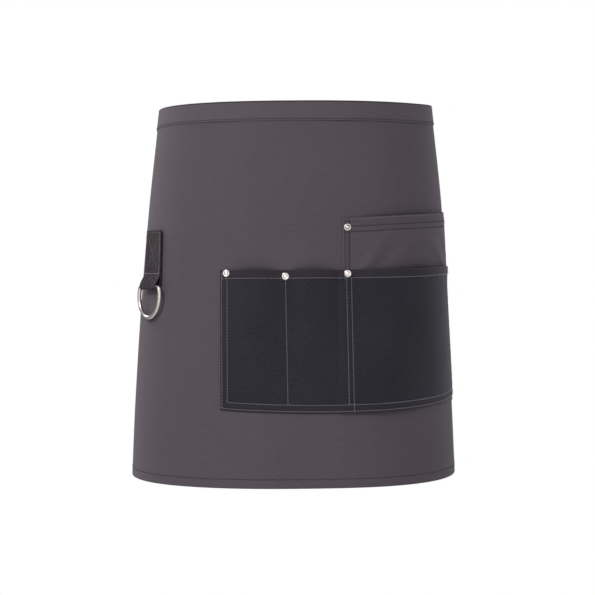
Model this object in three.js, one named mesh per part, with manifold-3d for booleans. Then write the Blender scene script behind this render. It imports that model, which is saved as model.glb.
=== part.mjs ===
// Waist apron: a hemmed cloth panel worn round the hips, with patch pockets, rivets, a D-ring and waist ties.
// Millimetres, +Z up, front towards -Y. The origin is the middle of the waist, at the waistband's mid height.
import * as THREE from "three";
import { mergeVertices } from "three/addons/utils/BufferGeometryUtils.js";
import Module from "manifold-3d";

const wasm = await Module();
wasm.setup();

const cloth = 1; // thickness of one layer
const gap = 0.3; // room left between pieces
const patchGap = 0.45; // room left under a pocket's sewn edges

// Worn form, as level sections of the panel's outer face, each a superellipse.
// drop: below the waistband's top edge; left, right: half widths; front, back: depths; square: exponent
const formRows = [
  { drop: 0, left: 167.4, right: 166.8, front: 123.2, back: 112, square: 2.32 },
  { drop: 120, left: 180.5, right: 179.5, front: 134, back: 122, square: 2.36 },
  { drop: 240, left: 190.5, right: 185.7, front: 144, back: 129, square: 2.4 },
  { drop: 360, left: 198, right: 192.2, front: 152.5, back: 132, square: 2.45 },
  { drop: 450, left: 201.8, right: 196.2, front: 159, back: 134, square: 2.5 },
];
const formSteps = 720; // chords in one section
const formNudge = 0.01; // radians to either side of a point, for its tangent
const askew = 0.006; // rise of the pattern towards the right, mm per mm

// foldRun: run of the step where a hem's fold begins; step: widest facet
const panel = { width: 750, length: 443, hem: 10, sideHem: 10, hemFold: 1, foldRun: 0.3, step: 16 };
const panelRows = [60, 100, 140, 170, 200, 230, 260, 300, 340, 380, 410]; // below the waistband
const band = { height: 23, fold: 1.3, overhang: 12 };

const mainPocket = { left: -88.5, right: 247, top: 196.5, bottom: 358.5, gape: 5 };
const upperPocket = { left: 53.8, right: 247, top: 137.4, rise: 0.048, bottom: 356, gape: 3.5 };
const pocketRows = [0, 0.06, 0.2, 0.35, 0.5, 0.65, 0.8, 0.94, 1]; // shares of a pocket's height
const ramp = { from: 47, to: 53.2 }; // where the main pocket climbs on to the upper one
const mouthFade = 1.5; // how fast a mouth's gape dies away down the pocket
// Free mouths between the seams, a row for each compartment
const mainMouths = [
  { from: -78, to: -19 },
  { from: -6, to: 47 },
  { from: 71, to: 237 },
];
const upperMouth = { from: 68, to: 237 };

// Rivets, where they go through the pattern and what lies under the cap: 1 or 2 pocket layers
const rivetRows = [
  { name: "rivet_left", across: -81.4, down: 199.3, layers: 1 },
  { name: "rivet_middle", across: -13.1, down: 203, layers: 1 },
  { name: "rivet_right", across: 58, down: 200.4, layers: 2 },
  { name: "rivet_upper", across: 58.5, down: 147.2, layers: 1 },
  { name: "rivet_side", across: 242, down: 199.1, layers: 2 },
  { name: "rivet_upper_side", across: 242, down: 138, layers: 1 },
];
// Radii of the cap, its flat crown, its dimple and the dimple's floor, of the shank and the washer behind
const rivet = { cap: 4.4, crown: 3.74, dimple: 2, dimpleFloor: 1.2, shank: 1.7, back: 4 };
const rivetMake = { capHeight: 1.3, dimpleDepth: 0.65, backHeight: 1.1, sides: 16, drill: 30 };

// Between flatFrom and flatTo the tab leaves the panel's curve for the flat of the ring's bar.
const tab = { left: -210.5, right: -171, top: 148.5, sewnTo: 200, flatFrom: 196, flatTo: 211 };
const tabFold = { barDown: 215.6, barOut: 4.8, bendSteps: 8, stations: 6 };
const ring = { wire: 2.4, halfBar: 23.2, height: 36.5, corner: 3.5, flare: 1.05, restGap: 0.8 };
const ringFacets = { turns: 56, sides: 10 };

const knot = { halfWidth: 13, depth: 7, halfHeight: 11, room: 1, sides: 20, rings: 12 };
const tie = { top: 1.6, bottom: 22.4, pinch: 6, pinchLength: 40, hang: 280, lean: 0.06, stations: 8 };

const halfPanel = panel.width / 2;
const bandTop = band.height / 2; // height of the waistband's top edge
const bandEnd = halfPanel + band.overhang;

const greyCloth = new THREE.MeshStandardMaterial({ color: "#59535a", roughness: 0.9, metalness: 0 });
const blackCloth = new THREE.MeshStandardMaterial({ color: "#2f2e33", roughness: 0.92, metalness: 0 });
const nickel = new THREE.MeshStandardMaterial({ color: "#cfcac2", roughness: 0.25, metalness: 1 });

const apron = new THREE.Group();

// The form's sizes at any drop, on smooth curves through the rows.
function formAt(drop) {
  const last = formRows.length - 1;
  let i = 0;
  while (i < last - 1 && drop > formRows[i + 1].drop) i++;
  const low = formRows[i];
  const high = formRows[i + 1];
  const span = high.drop - low.drop;
  const k = (drop - low.drop) / span;
  const sizes = {};
  for (const key of ["left", "right", "front", "back", "square"]) {
    const slopeAt = (j) => {
      const a = formRows[Math.max(j - 1, 0)];
      const b = formRows[Math.min(j + 1, last)];
      return (b[key] - a[key]) / (b.drop - a.drop);
    };
    const rise = span * (k ** 3 - 2 * k ** 2 + k) * slopeAt(i);
    const fall = span * (k ** 3 - k ** 2) * slopeAt(i + 1);
    const blend = 3 * k ** 2 - 2 * k ** 3;
    sizes[key] = low[key] + (high[key] - low[key]) * blend + rise + fall;
  }
  return sizes;
}

// A point of one level section; angle 0 is the front and positive angles turn to the right.
function sectionPoint(sizes, angle) {
  const power = 2 / sizes.square;
  const s = Math.sin(angle);
  const c = Math.cos(angle);
  const halfWidth = s < 0 ? sizes.left : sizes.right;
  const depth = c > 0 ? sizes.front : sizes.back;
  const x = Math.sign(s) * halfWidth * Math.abs(s) ** power;
  const y = -Math.sign(c) * depth * Math.abs(c) ** power;
  return new THREE.Vector2(x, y);
}

// One section with its lengths round the form, measured from the front centre.
function sectionAt(drop) {
  const sizes = formAt(drop);
  const lengths = new Float64Array(formSteps + 1);
  let before = sectionPoint(sizes, -Math.PI);
  for (let i = 1; i <= formSteps; i++) {
    const here = sectionPoint(sizes, -Math.PI + (2 * Math.PI * i) / formSteps);
    lengths[i] = lengths[i - 1] + here.distanceTo(before);
    before = here;
  }
  const front = lengths[formSteps / 2];
  return { sizes, lengths: lengths.map((length) => length - front) };
}

function angleAt(section, along) {
  const { lengths } = section;
  let low = 0;
  let high = formSteps;
  while (high - low > 1) {
    const middle = (low + high) >> 1;
    if (lengths[middle] > along) high = middle;
    else low = middle;
  }
  const share = (along - lengths[low]) / (lengths[high] - lengths[low]);
  return -Math.PI + (2 * Math.PI * (low + share)) / formSteps;
}

// Lays a point of the flat pattern on the form: across and down the cloth, and out from the panel's face.
function wrap(across, down, out) {
  const along = across + askew * down;
  const drop = down - askew * across;
  const section = sectionAt(drop);
  const angle = angleAt(section, along);
  const here = sectionPoint(section.sizes, angle);
  const side = sectionPoint(section.sizes, angle + formNudge);
  side.sub(sectionPoint(section.sizes, angle - formNudge));
  const lower = sectionAt(drop + 1);
  const below = sectionPoint(lower.sizes, angleAt(lower, along)).sub(here);
  const tangent = new THREE.Vector3(side.x, side.y, 0);
  const downward = new THREE.Vector3(below.x, below.y, -1);
  const normal = downward.cross(tangent).normalize();
  return new THREE.Vector3(here.x, here.y, bandTop - drop).addScaledVector(normal, out);
}

// Even stations between the marks, none further apart than the step.
function stations(marks, step) {
  const places = [marks[0]];
  for (let i = 1; i < marks.length; i++) {
    const count = Math.ceil((marks[i] - marks[i - 1]) / step);
    for (let j = 1; j <= count; j++) places.push(marks[i - 1] + ((marks[i] - marks[i - 1]) * j) / count);
  }
  return places;
}

function signedVolume(points, faces) {
  let sum = 0;
  for (const [a, b, c] of faces) sum += points[a].dot(points[b].clone().cross(points[c]));
  return sum / 6;
}

function geometryOf(points, faces) {
  const turned = signedVolume(points, faces) < 0;
  const index = faces.flatMap(([a, b, c]) => (turned ? [a, c, b] : [a, b, c]));
  const geometry = new THREE.BufferGeometry();
  geometry.setFromPoints(points);
  geometry.setIndex(index);
  return geometry;
}

// A closed cloth solid: an outline of { down, out } points at each station across, joined and capped.
// All layers split their facets along the same diagonal, so that none cuts into the next.
function sew(acrossStations, outlineAt, place = wrap) {
  const outlines = acrossStations.map((across) => outlineAt(across));
  const size = outlines[0].length;
  const points = acrossStations.flatMap((across, i) => outlines[i].map((p) => place(across, p.down, p.out)));
  const faces = [];
  for (let i = 0; i + 1 < acrossStations.length; i++) {
    for (let j = 0; j < size; j++) {
      const a = i * size + j;
      const b = i * size + ((j + 1) % size);
      const goingDown = outlines[i][j].down < outlines[i][(j + 1) % size].down;
      if (goingDown) faces.push([a, b, b + size], [a, b + size, a + size]);
      else faces.push([a, b, a + size], [b, b + size, a + size]);
    }
  }
  const lastRing = (acrossStations.length - 1) * size;
  const caps = [
    { ring: 0, outline: outlines[0], flip: true },
    { ring: lastRing, outline: outlines[outlines.length - 1], flip: false },
  ];
  for (const { ring: start, outline, flip } of caps) {
    const flat = outline.map((p) => new THREE.Vector2(p.down, p.out));
    const clockwise = THREE.ShapeUtils.isClockWise(flat);
    const triangles = THREE.ShapeUtils.triangulateShape(flat, []);
    for (const [a, b, c] of triangles) {
      const face = [start + a, start + b, start + c];
      faces.push(flip === clockwise ? face : face.reverse());
    }
  }
  return geometryOf(points, faces);
}

// The outline of a wall between two faces, down the outer one and back up the inner one.
function wallOutline(rows, outer, inner) {
  const down = rows.map((row) => ({ down: row, out: outer(row) }));
  const up = rows.map((row) => ({ down: row, out: inner(row) })).reverse();
  return [...down, ...up];
}

function addMesh(name, geometry, material) {
  const mesh = new THREE.Mesh(geometry, material);
  mesh.name = name;
  apron.add(mesh);
  return mesh;
}

function solidOf(geometry) {
  const bare = geometry.clone();
  bare.deleteAttribute("normal");
  bare.deleteAttribute("uv");
  const merged = mergeVertices(bare);
  const triVerts = new Uint32Array(merged.index.array);
  const vertProperties = new Float32Array(merged.attributes.position.array);
  return new wasm.Manifold(new wasm.Mesh({ numProp: 3, vertProperties, triVerts }));
}

function geometryFrom(solid) {
  const made = solid.getMesh();
  const geometry = new THREE.BufferGeometry();
  geometry.setAttribute("position", new THREE.BufferAttribute(made.vertProperties, 3));
  geometry.setIndex(new THREE.BufferAttribute(made.triVerts, 1));
  return geometry;
}

// How far a free mouth stands off between its seams, fading to nothing at the pocket's foot.
function easeOf(mouth, gape, across, depthShare) {
  const share = THREE.MathUtils.clamp((across - mouth.from) / (mouth.to - mouth.from), 0, 1);
  const depth = THREE.MathUtils.clamp(depthShare, 0, 1);
  return gape * Math.sin(Math.PI * share) * (1 - depth) ** mouthFade;
}

function upperTop(across) {
  return upperPocket.top - upperPocket.rise * (across - upperPocket.left);
}

// Inner face of the upper pocket, out from the panel.
function upperInner(across, down) {
  const top = upperTop(across);
  const depthShare = (down - top) / (upperPocket.bottom - top);
  return patchGap + easeOf(upperMouth, upperPocket.gape, across, depthShare);
}

// Inner face of the main pocket, out from the panel or from the upper pocket under it.
function mainInner(across, down) {
  const climb = THREE.MathUtils.clamp((across - ramp.from) / (ramp.to - ramp.from), 0, 1);
  const under = climb < 1 ? climb * (cloth + patchGap) : upperInner(across, down) + cloth;
  const depthShare = (down - mainPocket.top) / (mainPocket.bottom - mainPocket.top);
  let ease = 0;
  for (const mouth of mainMouths) ease += easeOf(mouth, mainPocket.gape, across, depthShare);
  return patchGap + under + ease;
}

// Marks shared by all layers, so that stacked walls bend along the same lines.
const mouthMarks = [...mainMouths, upperMouth].flatMap(({ from, to }) => [from, to]);
const pocketEdges = [mainPocket.left, ramp.from, ramp.to, upperPocket.left, mainPocket.right];
const hemEdge = halfPanel - panel.sideHem;
const hemMarks = [hemEdge, hemEdge + panel.foldRun, halfPanel];
const panelMarks = [...hemMarks.map((mark) => -mark), ...mouthMarks, ...pocketEdges, ...hemMarks];
const inOrder = [...new Set(panelMarks)].sort((a, b) => a - b);
const allStations = stations(inOrder, panel.step);
const stationsBetween = (from, to) => allStations.filter((across) => across >= from && across <= to);

function panelOutline(across) {
  const hemStart = panel.length - panel.hem;
  const hemRows = [hemStart, hemStart + panel.foldRun, panel.length];
  const rows = [band.fold + gap, band.height, ...panelRows, ...hemRows];
  const sideHem = Math.abs(across) > hemEdge;
  const inner = (down) => (sideHem || down > hemStart ? -cloth - panel.hemFold : -cloth);
  return wallOutline(rows, () => 0, inner);
}

function bandOutline() {
  const outside = gap + cloth;
  const inside = -cloth - gap - cloth - panel.hemFold;
  return [
    { down: 0, out: outside },
    { down: band.height, out: outside },
    { down: band.height, out: gap },
    { down: band.fold, out: gap },
    { down: band.fold, out: inside + cloth },
    { down: band.height, out: inside + cloth },
    { down: band.height, out: inside },
    { down: 0, out: inside },
  ];
}

function pocketOutline(top, bottom, innerAt) {
  const rows = pocketRows.map((share) => top + share * (bottom - top));
  return wallOutline(rows, (down) => innerAt(down) + cloth, innerAt);
}

function rivetProfile(layers) {
  const capBase = layers * (patchGap + cloth) + gap;
  const capTop = capBase + rivetMake.capHeight;
  const dimpleFace = capTop - rivetMake.dimpleDepth;
  const backTop = -cloth - gap;
  const backFace = backTop - rivetMake.backHeight;
  const outline = [
    [0, backFace],
    [rivet.back, backFace],
    [rivet.back, backTop],
    [rivet.shank, backTop],
    [rivet.shank, capBase],
    [rivet.cap, capBase],
    [rivet.cap, capBase + rivetMake.capHeight / 2],
    [rivet.crown, capTop],
    [rivet.dimple, capTop],
    [rivet.dimpleFloor, dimpleFace],
    [0, dimpleFace],
  ];
  return outline.map(([radius, height]) => new THREE.Vector2(radius, height));
}

// Frame of a place on the panel: origin on its face, X across, Y out and Z down.
function faceFrame(across, down) {
  const origin = wrap(across, down, 0);
  const outward = wrap(across, down, 1).sub(origin).normalize();
  const sideways = wrap(across + 1, down, 0).sub(wrap(across - 1, down, 0)).normalize();
  const downward = sideways.clone().cross(outward).normalize();
  const turn = new THREE.Matrix4().makeBasis(sideways, outward, downward);
  const rotation = new THREE.Quaternion().setFromRotationMatrix(turn);
  return { origin, outward, sideways, downward, rotation };
}

function rivetHole(row) {
  const radius = rivet.shank + gap;
  const hole = new THREE.CylinderGeometry(radius, radius, rivetMake.drill, rivetMake.sides);
  const { origin, rotation } = faceFrame(row.across, row.down);
  hole.applyQuaternion(rotation);
  hole.translate(origin.x, origin.y, origin.z);
  return solidOf(hole);
}

function pierced(geometry, rows) {
  let solid = solidOf(geometry);
  for (const row of rows) solid = solid.subtract(rivetHole(row));
  return geometryFrom(solid);
}

const inUpper = (row) => row.across > upperPocket.left;
const inMain = (row) => row.down > mainPocket.top;

const panelCloth = sew(allStations, panelOutline);
addMesh("apron_panel", pierced(panelCloth, rivetRows), greyCloth);

const bandStations = [-bandEnd, ...allStations, bandEnd];
addMesh("waistband", sew(bandStations, bandOutline), greyCloth);

const upperStations = stationsBetween(upperPocket.left, upperPocket.right);
const upperCloth = sew(upperStations, (across) =>
  pocketOutline(upperTop(across), upperPocket.bottom, (down) => upperInner(across, down)),
);
addMesh("upper_pocket", pierced(upperCloth, rivetRows.filter(inUpper)), greyCloth);

const mainStations = stationsBetween(mainPocket.left, mainPocket.right);
const mainCloth = sew(mainStations, (across) =>
  pocketOutline(mainPocket.top, mainPocket.bottom, (down) => mainInner(across, down)),
);
addMesh("main_pocket", pierced(mainCloth, rivetRows.filter(inMain)), blackCloth);

for (const row of rivetRows) {
  const body = new THREE.LatheGeometry(rivetProfile(row.layers), rivetMake.sides);
  const mesh = addMesh(row.name, body, nickel);
  const { origin, rotation } = faceFrame(row.across, row.down);
  mesh.position.copy(origin);
  mesh.quaternion.copy(rotation);
}

// The ring's bar lies straight in the tab's fold, so the tab turns flat below its seam.
const tabMiddle = (tab.left + tab.right) / 2;
const tabFrame = faceFrame(tabMiddle, tabFold.barDown);

function tabPlace(across, down, out) {
  const curved = wrap(across, down, out);
  const flat = tabFrame.origin.clone();
  flat.addScaledVector(tabFrame.sideways, across - tabMiddle);
  flat.addScaledVector(tabFrame.downward, down - tabFold.barDown);
  flat.addScaledVector(tabFrame.outward, out);
  return curved.lerp(flat, THREE.MathUtils.smoothstep(down, tab.flatFrom, tab.flatTo));
}

// A strap laid down the panel, round the bar and back up over itself.
function tabOutline() {
  const foldInner = ring.wire + gap;
  const foldOuter = foldInner + cloth;
  const arc = (radius) => {
    const bend = [];
    for (let i = 0; i <= tabFold.bendSteps; i++) {
      const angle = (Math.PI * i) / tabFold.bendSteps;
      const down = tabFold.barDown + radius * Math.sin(angle);
      bend.push({ down, out: tabFold.barOut - radius * Math.cos(angle) });
    }
    return bend;
  };
  const upperOut = 2 * gap + cloth;
  const outside = [
    { down: tab.top, out: gap },
    { down: tab.sewnTo, out: gap },
    ...arc(foldOuter),
    { down: tab.sewnTo, out: upperOut + cloth },
    { down: tab.top, out: upperOut + cloth },
  ];
  const inside = [
    { down: tab.top, out: gap + cloth },
    { down: tab.sewnTo, out: gap + cloth },
    ...arc(foldInner),
    { down: tab.sewnTo, out: upperOut },
    { down: tab.top, out: upperOut },
  ];
  return [...outside, ...inside.reverse()];
}

const tabStations = stations([tab.left, tab.right], (tab.right - tab.left) / tabFold.stations);
addMesh("ring_tab", sew(tabStations, tabOutline, tabPlace), blackCloth);

// Middle line of the ring's wire in its own plane: a straight bar and a round bow, X along the bar.
function ringLine() {
  const { halfBar, height, corner, flare } = ring;
  const bowRadius = (height ** 2 + halfBar ** 2) / (2 * height);
  const bowMiddle = bowRadius - height;
  const start = Math.atan2(-corner - bowMiddle, halfBar + flare);
  const line = new THREE.Path();
  line.moveTo(-halfBar + corner, 0);
  line.lineTo(halfBar - corner, 0);
  const startX = bowRadius * Math.cos(start);
  const startY = bowMiddle + bowRadius * Math.sin(start);
  line.quadraticCurveTo(halfBar + flare / 2, 0, startX, startY);
  line.absarc(0, bowMiddle, bowRadius, start, -Math.PI - start, true);
  line.quadraticCurveTo(-halfBar - flare / 2, 0, -halfBar + corner, 0);
  return line.getSpacedPoints(ringFacets.turns).slice(0, -1);
}

// A closed ring of wire along a flat loop.
function wireRing(loop, radius, sides) {
  const points = [];
  const faces = [];
  loop.forEach((here, i) => {
    const before = loop[(i + loop.length - 1) % loop.length];
    const after = loop[(i + 1) % loop.length];
    const run = after.clone().sub(before).normalize();
    for (let j = 0; j < sides; j++) {
      const angle = (2 * Math.PI * j) / sides;
      const across = radius * Math.cos(angle);
      const proud = radius * Math.sin(angle);
      points.push(new THREE.Vector3(here.x - run.y * across, proud, here.y + run.x * across));
      const next = ((i + 1) % loop.length) * sides;
      const a = i * sides + j;
      const b = i * sides + ((j + 1) % sides);
      faces.push([a, b, next + ((j + 1) % sides)], [a, next + ((j + 1) % sides), next + j]);
    }
  });
  return geometryOf(points, faces);
}

// The ring hangs from the bar's middle and its bow rests near the panel.
const ringMesh = addMesh("d_ring", wireRing(ringLine(), ring.wire, ringFacets.sides), nickel);
const ringLean = Math.asin((tabFold.barOut - ring.wire - ring.restGap) / ring.height);
const ringUp = tabFrame.downward.clone().negate().applyAxisAngle(tabFrame.sideways, ringLean);
const ringFront = ringUp.clone().cross(tabFrame.sideways).normalize();
const ringBasis = new THREE.Matrix4().makeBasis(tabFrame.sideways, ringFront, ringUp);
ringMesh.position.copy(tabPlace(tabMiddle, tabFold.barDown, tabFold.barOut));
ringMesh.quaternion.setFromRotationMatrix(ringBasis);

// Ties run from inside the waistband's ends to the knot at the middle of the back, gathered close to it.
const tieMiddle = (tie.top + tie.bottom) / 2;
const tieHalf = tieMiddle - tie.top;
const waistSection = sectionAt(tieMiddle);
const knotEdge = knot.halfWidth + knot.room;
const tieRuns = [
  { name: "tie_left", side: -1, girth: -waistSection.lengths[0] },
  { name: "tie_right", side: 1, girth: waistSection.lengths[formSteps] },
];

// Share of its full width that a tie has, so far from the knot.
function gathered(distance) {
  return THREE.MathUtils.lerp(tie.pinch / tieHalf, 1, Math.min(distance / tie.pinchLength, 1));
}

for (const { name, side, girth } of tieRuns) {
  const start = halfPanel + gap;
  const end = girth - knotEdge;
  const runs = stations([start, bandEnd, end], (end - bandEnd) / tie.stations);
  const outline = (across) => {
    const spread = gathered(end - Math.abs(across)) * tieHalf;
    const rows = [tieMiddle - spread, tieMiddle + spread];
    return wallOutline(rows, () => 0, () => -cloth);
  };
  addMesh(name, sew(runs.map((run) => side * run), outline), greyCloth);
}

const waistBack = formAt(tieMiddle).back;
const knotHeight = bandTop - tieMiddle;
const knotBody = new THREE.SphereGeometry(1, knot.sides, knot.rings);
knotBody.scale(knot.halfWidth, knot.depth, knot.halfHeight);
const knotMesh = addMesh("tie_knot", knotBody, greyCloth);
knotMesh.position.set(0, waistBack, knotHeight);

// Hanging ends, one lying behind the other.
const tieEnds = [
  { name: "tie_end_left", side: -1, layer: gap },
  { name: "tie_end_right", side: 1, layer: -cloth - gap },
];
for (const { name, side, layer } of tieEnds) {
  const top = knotHeight - knot.halfHeight - gap;
  const hung = (across, down, out) => {
    const x = side * (tie.pinch + tie.lean * down) + across * gathered(down);
    return new THREE.Vector3(x, waistBack + layer + out, top - down);
  };
  const rows = stations([0, tie.pinchLength, tie.hang], tie.pinchLength);
  const outline = () => wallOutline(rows, () => cloth, () => 0);
  addMesh(name, sew([-tieHalf, tieHalf], outline, hung), greyCloth);
}

export default apron;
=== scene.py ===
import math

import bpy
import numpy as np
from mathutils import Matrix, Vector


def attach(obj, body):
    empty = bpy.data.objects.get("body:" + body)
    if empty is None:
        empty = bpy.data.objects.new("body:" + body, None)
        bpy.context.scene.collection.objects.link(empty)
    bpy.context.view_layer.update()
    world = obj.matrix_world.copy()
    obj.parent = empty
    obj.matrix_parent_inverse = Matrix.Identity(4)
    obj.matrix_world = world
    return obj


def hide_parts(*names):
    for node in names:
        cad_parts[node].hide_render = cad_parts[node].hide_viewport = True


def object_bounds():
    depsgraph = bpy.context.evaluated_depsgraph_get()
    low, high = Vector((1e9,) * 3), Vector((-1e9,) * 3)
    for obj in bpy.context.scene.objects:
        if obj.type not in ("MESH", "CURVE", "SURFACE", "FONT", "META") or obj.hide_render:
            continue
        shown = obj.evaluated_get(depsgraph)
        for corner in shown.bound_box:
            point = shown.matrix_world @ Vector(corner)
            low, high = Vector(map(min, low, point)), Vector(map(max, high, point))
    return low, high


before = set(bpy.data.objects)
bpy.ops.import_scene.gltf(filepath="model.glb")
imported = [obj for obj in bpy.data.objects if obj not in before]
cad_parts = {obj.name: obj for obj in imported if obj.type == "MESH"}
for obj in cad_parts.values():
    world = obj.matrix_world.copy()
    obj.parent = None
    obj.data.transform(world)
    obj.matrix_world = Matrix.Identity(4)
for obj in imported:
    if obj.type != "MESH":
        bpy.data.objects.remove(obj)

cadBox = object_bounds()
mm = 0.001  # the cloth pattern is worked in millimetres, Blender in metres
print("frame loaded:", len(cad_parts), "nodes")

# Camera and light, set first so that every stage can be looked at
cameraSet = {"x": 0.002, "back": 1.8, "height": -0.1683, "pitch": 1.64, "lens": 87.85, "sensor": 36}
studio = {
    "ambient": 0.44,  # world light on the object
    "backdrop": 1.0,  # world as the camera sees it
    "mirrored": {"front": 1.2, "side": 0.34, "back": 0.5},  # world as metal mirrors it
    "floorDrop": 0.55,  # floor below the hem
    "floorRadius": 6.0,
    "floorSides": 96,
    "floorFade": (0.5, 1.6),  # where the floor melts into the backdrop
    "floorTone": (0.86, 0.86, 0.86, 1),
    "floorRoughness": 0.9,
}
softBoxes = [  # name, place, aim, size in metres, watts, tint
    ("keyLeft", (-1.35, -1.92, 1.7), (0, 0, -0.15), 1.0, 43.2, (1, 0.985, 0.98)),
    ("rimLeft", (-1.33, 0.8, 0.75), (-0.15, 0, -0.1), 0.5, 11.4, (1, 1, 1)),
    ("rimRight", (1.45, 0.75, 0.1), (0.15, 0, -0.25), 0.5, 6.4, (0.94, 0.95, 1)),
    ("backFill", (0.4, 2.2, 1.1), (0, 0, -0.2), 1.4, 22, (1, 1, 1)),
]
sharpAngle = {"cloth": 50, "metal": 40, "knot": 80}  # edges sharper than this stay sharp
nodeRow = {"start": -3800, "gap": 220, "end": 600}  # nodes stand in a row, in the order they are made


def deselectAll():
    if bpy.context.object and bpy.context.object.mode != "OBJECT":
        bpy.ops.object.mode_set(mode="OBJECT")
    bpy.ops.object.select_all(action="DESELECT")


def makeActive(piece):
    deselectAll()
    piece.select_set(True)
    bpy.context.view_layer.objects.active = piece


def addModifier(piece, kind, **settings):
    makeActive(piece)
    bpy.ops.object.modifier_add(type=kind)
    modifier = piece.modifiers[-1]
    for key, value in settings.items():
        setattr(modifier, key, value)
    bpy.ops.object.modifier_apply(modifier=modifier.name)


def smoothOver(piece, degrees):
    makeActive(piece)
    bpy.ops.object.shade_smooth_by_angle(angle=math.radians(degrees))


def faceOutward(piece, merge=0):
    makeActive(piece)
    bpy.ops.object.mode_set(mode="EDIT")
    bpy.ops.mesh.select_all(action="SELECT")
    if merge:
        bpy.ops.mesh.remove_doubles(threshold=merge)
    bpy.ops.mesh.normals_make_consistent(inside=False)
    bpy.ops.object.mode_set(mode="OBJECT")


def named(piece, name):
    piece.name = piece.data.name = name
    return piece


def joinPieces(pieces, name):
    makeActive(pieces[0])
    for piece in pieces[1:]:
        piece.select_set(True)
    bpy.ops.object.join()
    return named(bpy.context.object, name)


def feedInputs(tree, made, values):
    # another node's output is linked, a plain value is set
    for key, value in values.items():
        if isinstance(value, bpy.types.NodeSocket):
            tree.links.new(value, made.inputs[key])
        else:
            made.inputs[key].default_value = value


def node(tree, kind, inputs=None, **settings):
    made = tree.nodes.new("ShaderNode" + kind)
    made.location.x = nodeRow["start"] + nodeRow["gap"] * len(tree.nodes)
    for key, value in settings.items():
        setattr(made, key, value)
    feedInputs(tree, made, inputs or {})
    return made


def mathNode(tree, operation, *values):
    return node(tree, "Math", dict(enumerate(values)), operation=operation).outputs[0]


def mixColour(tree, factor, first, second, **settings):
    colours = {"Factor": factor, "A": first, "B": second}
    return node(tree, "Mix", colours, data_type="RGBA", **settings).outputs["Result"]


def newFinish(name):
    finish = bpy.data.materials.new(name)
    finish.use_nodes = True
    return finish, finish.node_tree, finish.node_tree.nodes["Principled BSDF"]


def setCamera():
    deselectAll()
    place = (cameraSet["x"], -cameraSet["back"], cameraSet["height"])
    turn = (math.radians(90 - cameraSet["pitch"]), 0, 0)
    bpy.ops.object.camera_add(location=place, rotation=turn)
    camera = bpy.context.object
    camera.data.lens = cameraSet["lens"]
    camera.data.sensor_width = cameraSet["sensor"]
    bpy.context.scene.camera = camera


def setWorld():
    world = bpy.data.worlds.new("studio")
    bpy.context.scene.world = world
    world.use_nodes = True
    tree = world.node_tree
    tree.nodes.clear()
    # mirrored light by direction: bright towards the front, dim to the sides, softer behind
    mirrored = studio["mirrored"]
    slope = (mirrored["front"] - mirrored["back"]) / 2
    bend = (mirrored["front"] + mirrored["back"]) / 2 - mirrored["side"]
    coords = node(tree, "TexCoord")
    front = {0: coords.outputs["Generated"], 1: (0, -1, 0)}
    facing = node(tree, "VectorMath", front, operation="DOT_PRODUCT").outputs["Value"]
    rise = mathNode(tree, "MULTIPLY_ADD", facing, bend, slope)
    level = mathNode(tree, "MULTIPLY_ADD", facing, rise, mirrored["side"])
    rays = node(tree, "LightPath").outputs
    white = (1, 1, 1, 1)
    shown = node(tree, "Background", {"Color": white, "Strength": studio["ambient"]}).outputs[0]
    for ray, strength in (("Is Glossy Ray", level), ("Is Camera Ray", studio["backdrop"])):
        light = node(tree, "Background", {"Color": white, "Strength": strength})
        shown = node(tree, "MixShader", {0: rays[ray], 1: shown, 2: light.outputs[0]}).outputs[0]
    node(tree, "OutputWorld", {"Surface": shown})


def setLights():
    for name, place, aim, size, watts, tint in softBoxes:
        deselectAll()
        bpy.ops.object.light_add(type="AREA", location=place)
        lamp = bpy.context.object
        lamp.name = name
        lamp.data.size = size
        lamp.data.energy = watts
        lamp.data.color = tint
        lamp.rotation_euler = (Vector(aim) - lamp.location).to_track_quat("-Z", "Y").to_euler()


def setFloor():
    deselectAll()
    bpy.ops.mesh.primitive_circle_add(
        vertices=studio["floorSides"], radius=studio["floorRadius"], fill_type="NGON"
    )
    floor = bpy.context.object
    floor.name = "floor"
    floor.location.z = cadBox[0].z - studio["floorDrop"]
    finish, tree, surface = newFinish("paleFloor")
    feedInputs(tree, surface, {"Base Color": studio["floorTone"], "Roughness": studio["floorRoughness"]})
    coords = node(tree, "TexCoord")
    away = node(tree, "VectorMath", {0: coords.outputs["Object"]}, operation="LENGTH")
    low, high = studio["floorFade"]
    limits = {"Value": away.outputs["Value"], "From Min": low, "From Max": high}
    fade = node(tree, "MapRange", limits, interpolation_type="SMOOTHSTEP")
    clear = node(tree, "BsdfTransparent")
    mix = node(tree, "MixShader", {0: fade.outputs[0], 1: surface.outputs[0], 2: clear.outputs[0]})
    feedInputs(tree, tree.nodes["Material Output"], {"Surface": mix.outputs[0]})
    floor.data.materials.append(finish)


setCamera()
setWorld()
setLights()
setFloor()
bpy.context.scene.view_settings.view_transform = "Standard"
print("camera, light and floor set")

# The worn form: level sections of the panel's outer face, in mm, as the frame has them
wornForm = {  # one size for each drop below the waistband's top edge
    "drop": (0, 120, 240, 360, 450), "square": (2.32, 2.36, 2.4, 2.45, 2.5),
    "left": (167.4, 180.5, 190.5, 198, 201.8), "right": (166.8, 179.5, 185.7, 192.2, 196.2),
    "front": (123.2, 134, 144, 152.5, 159), "back": (112, 122, 129, 132, 134),
}
askew = 0.006  # rise of the pattern towards the right
bandTop = 11.5  # height of the waistband's top edge
formDrops = np.array(wornForm["drop"], float)


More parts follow.
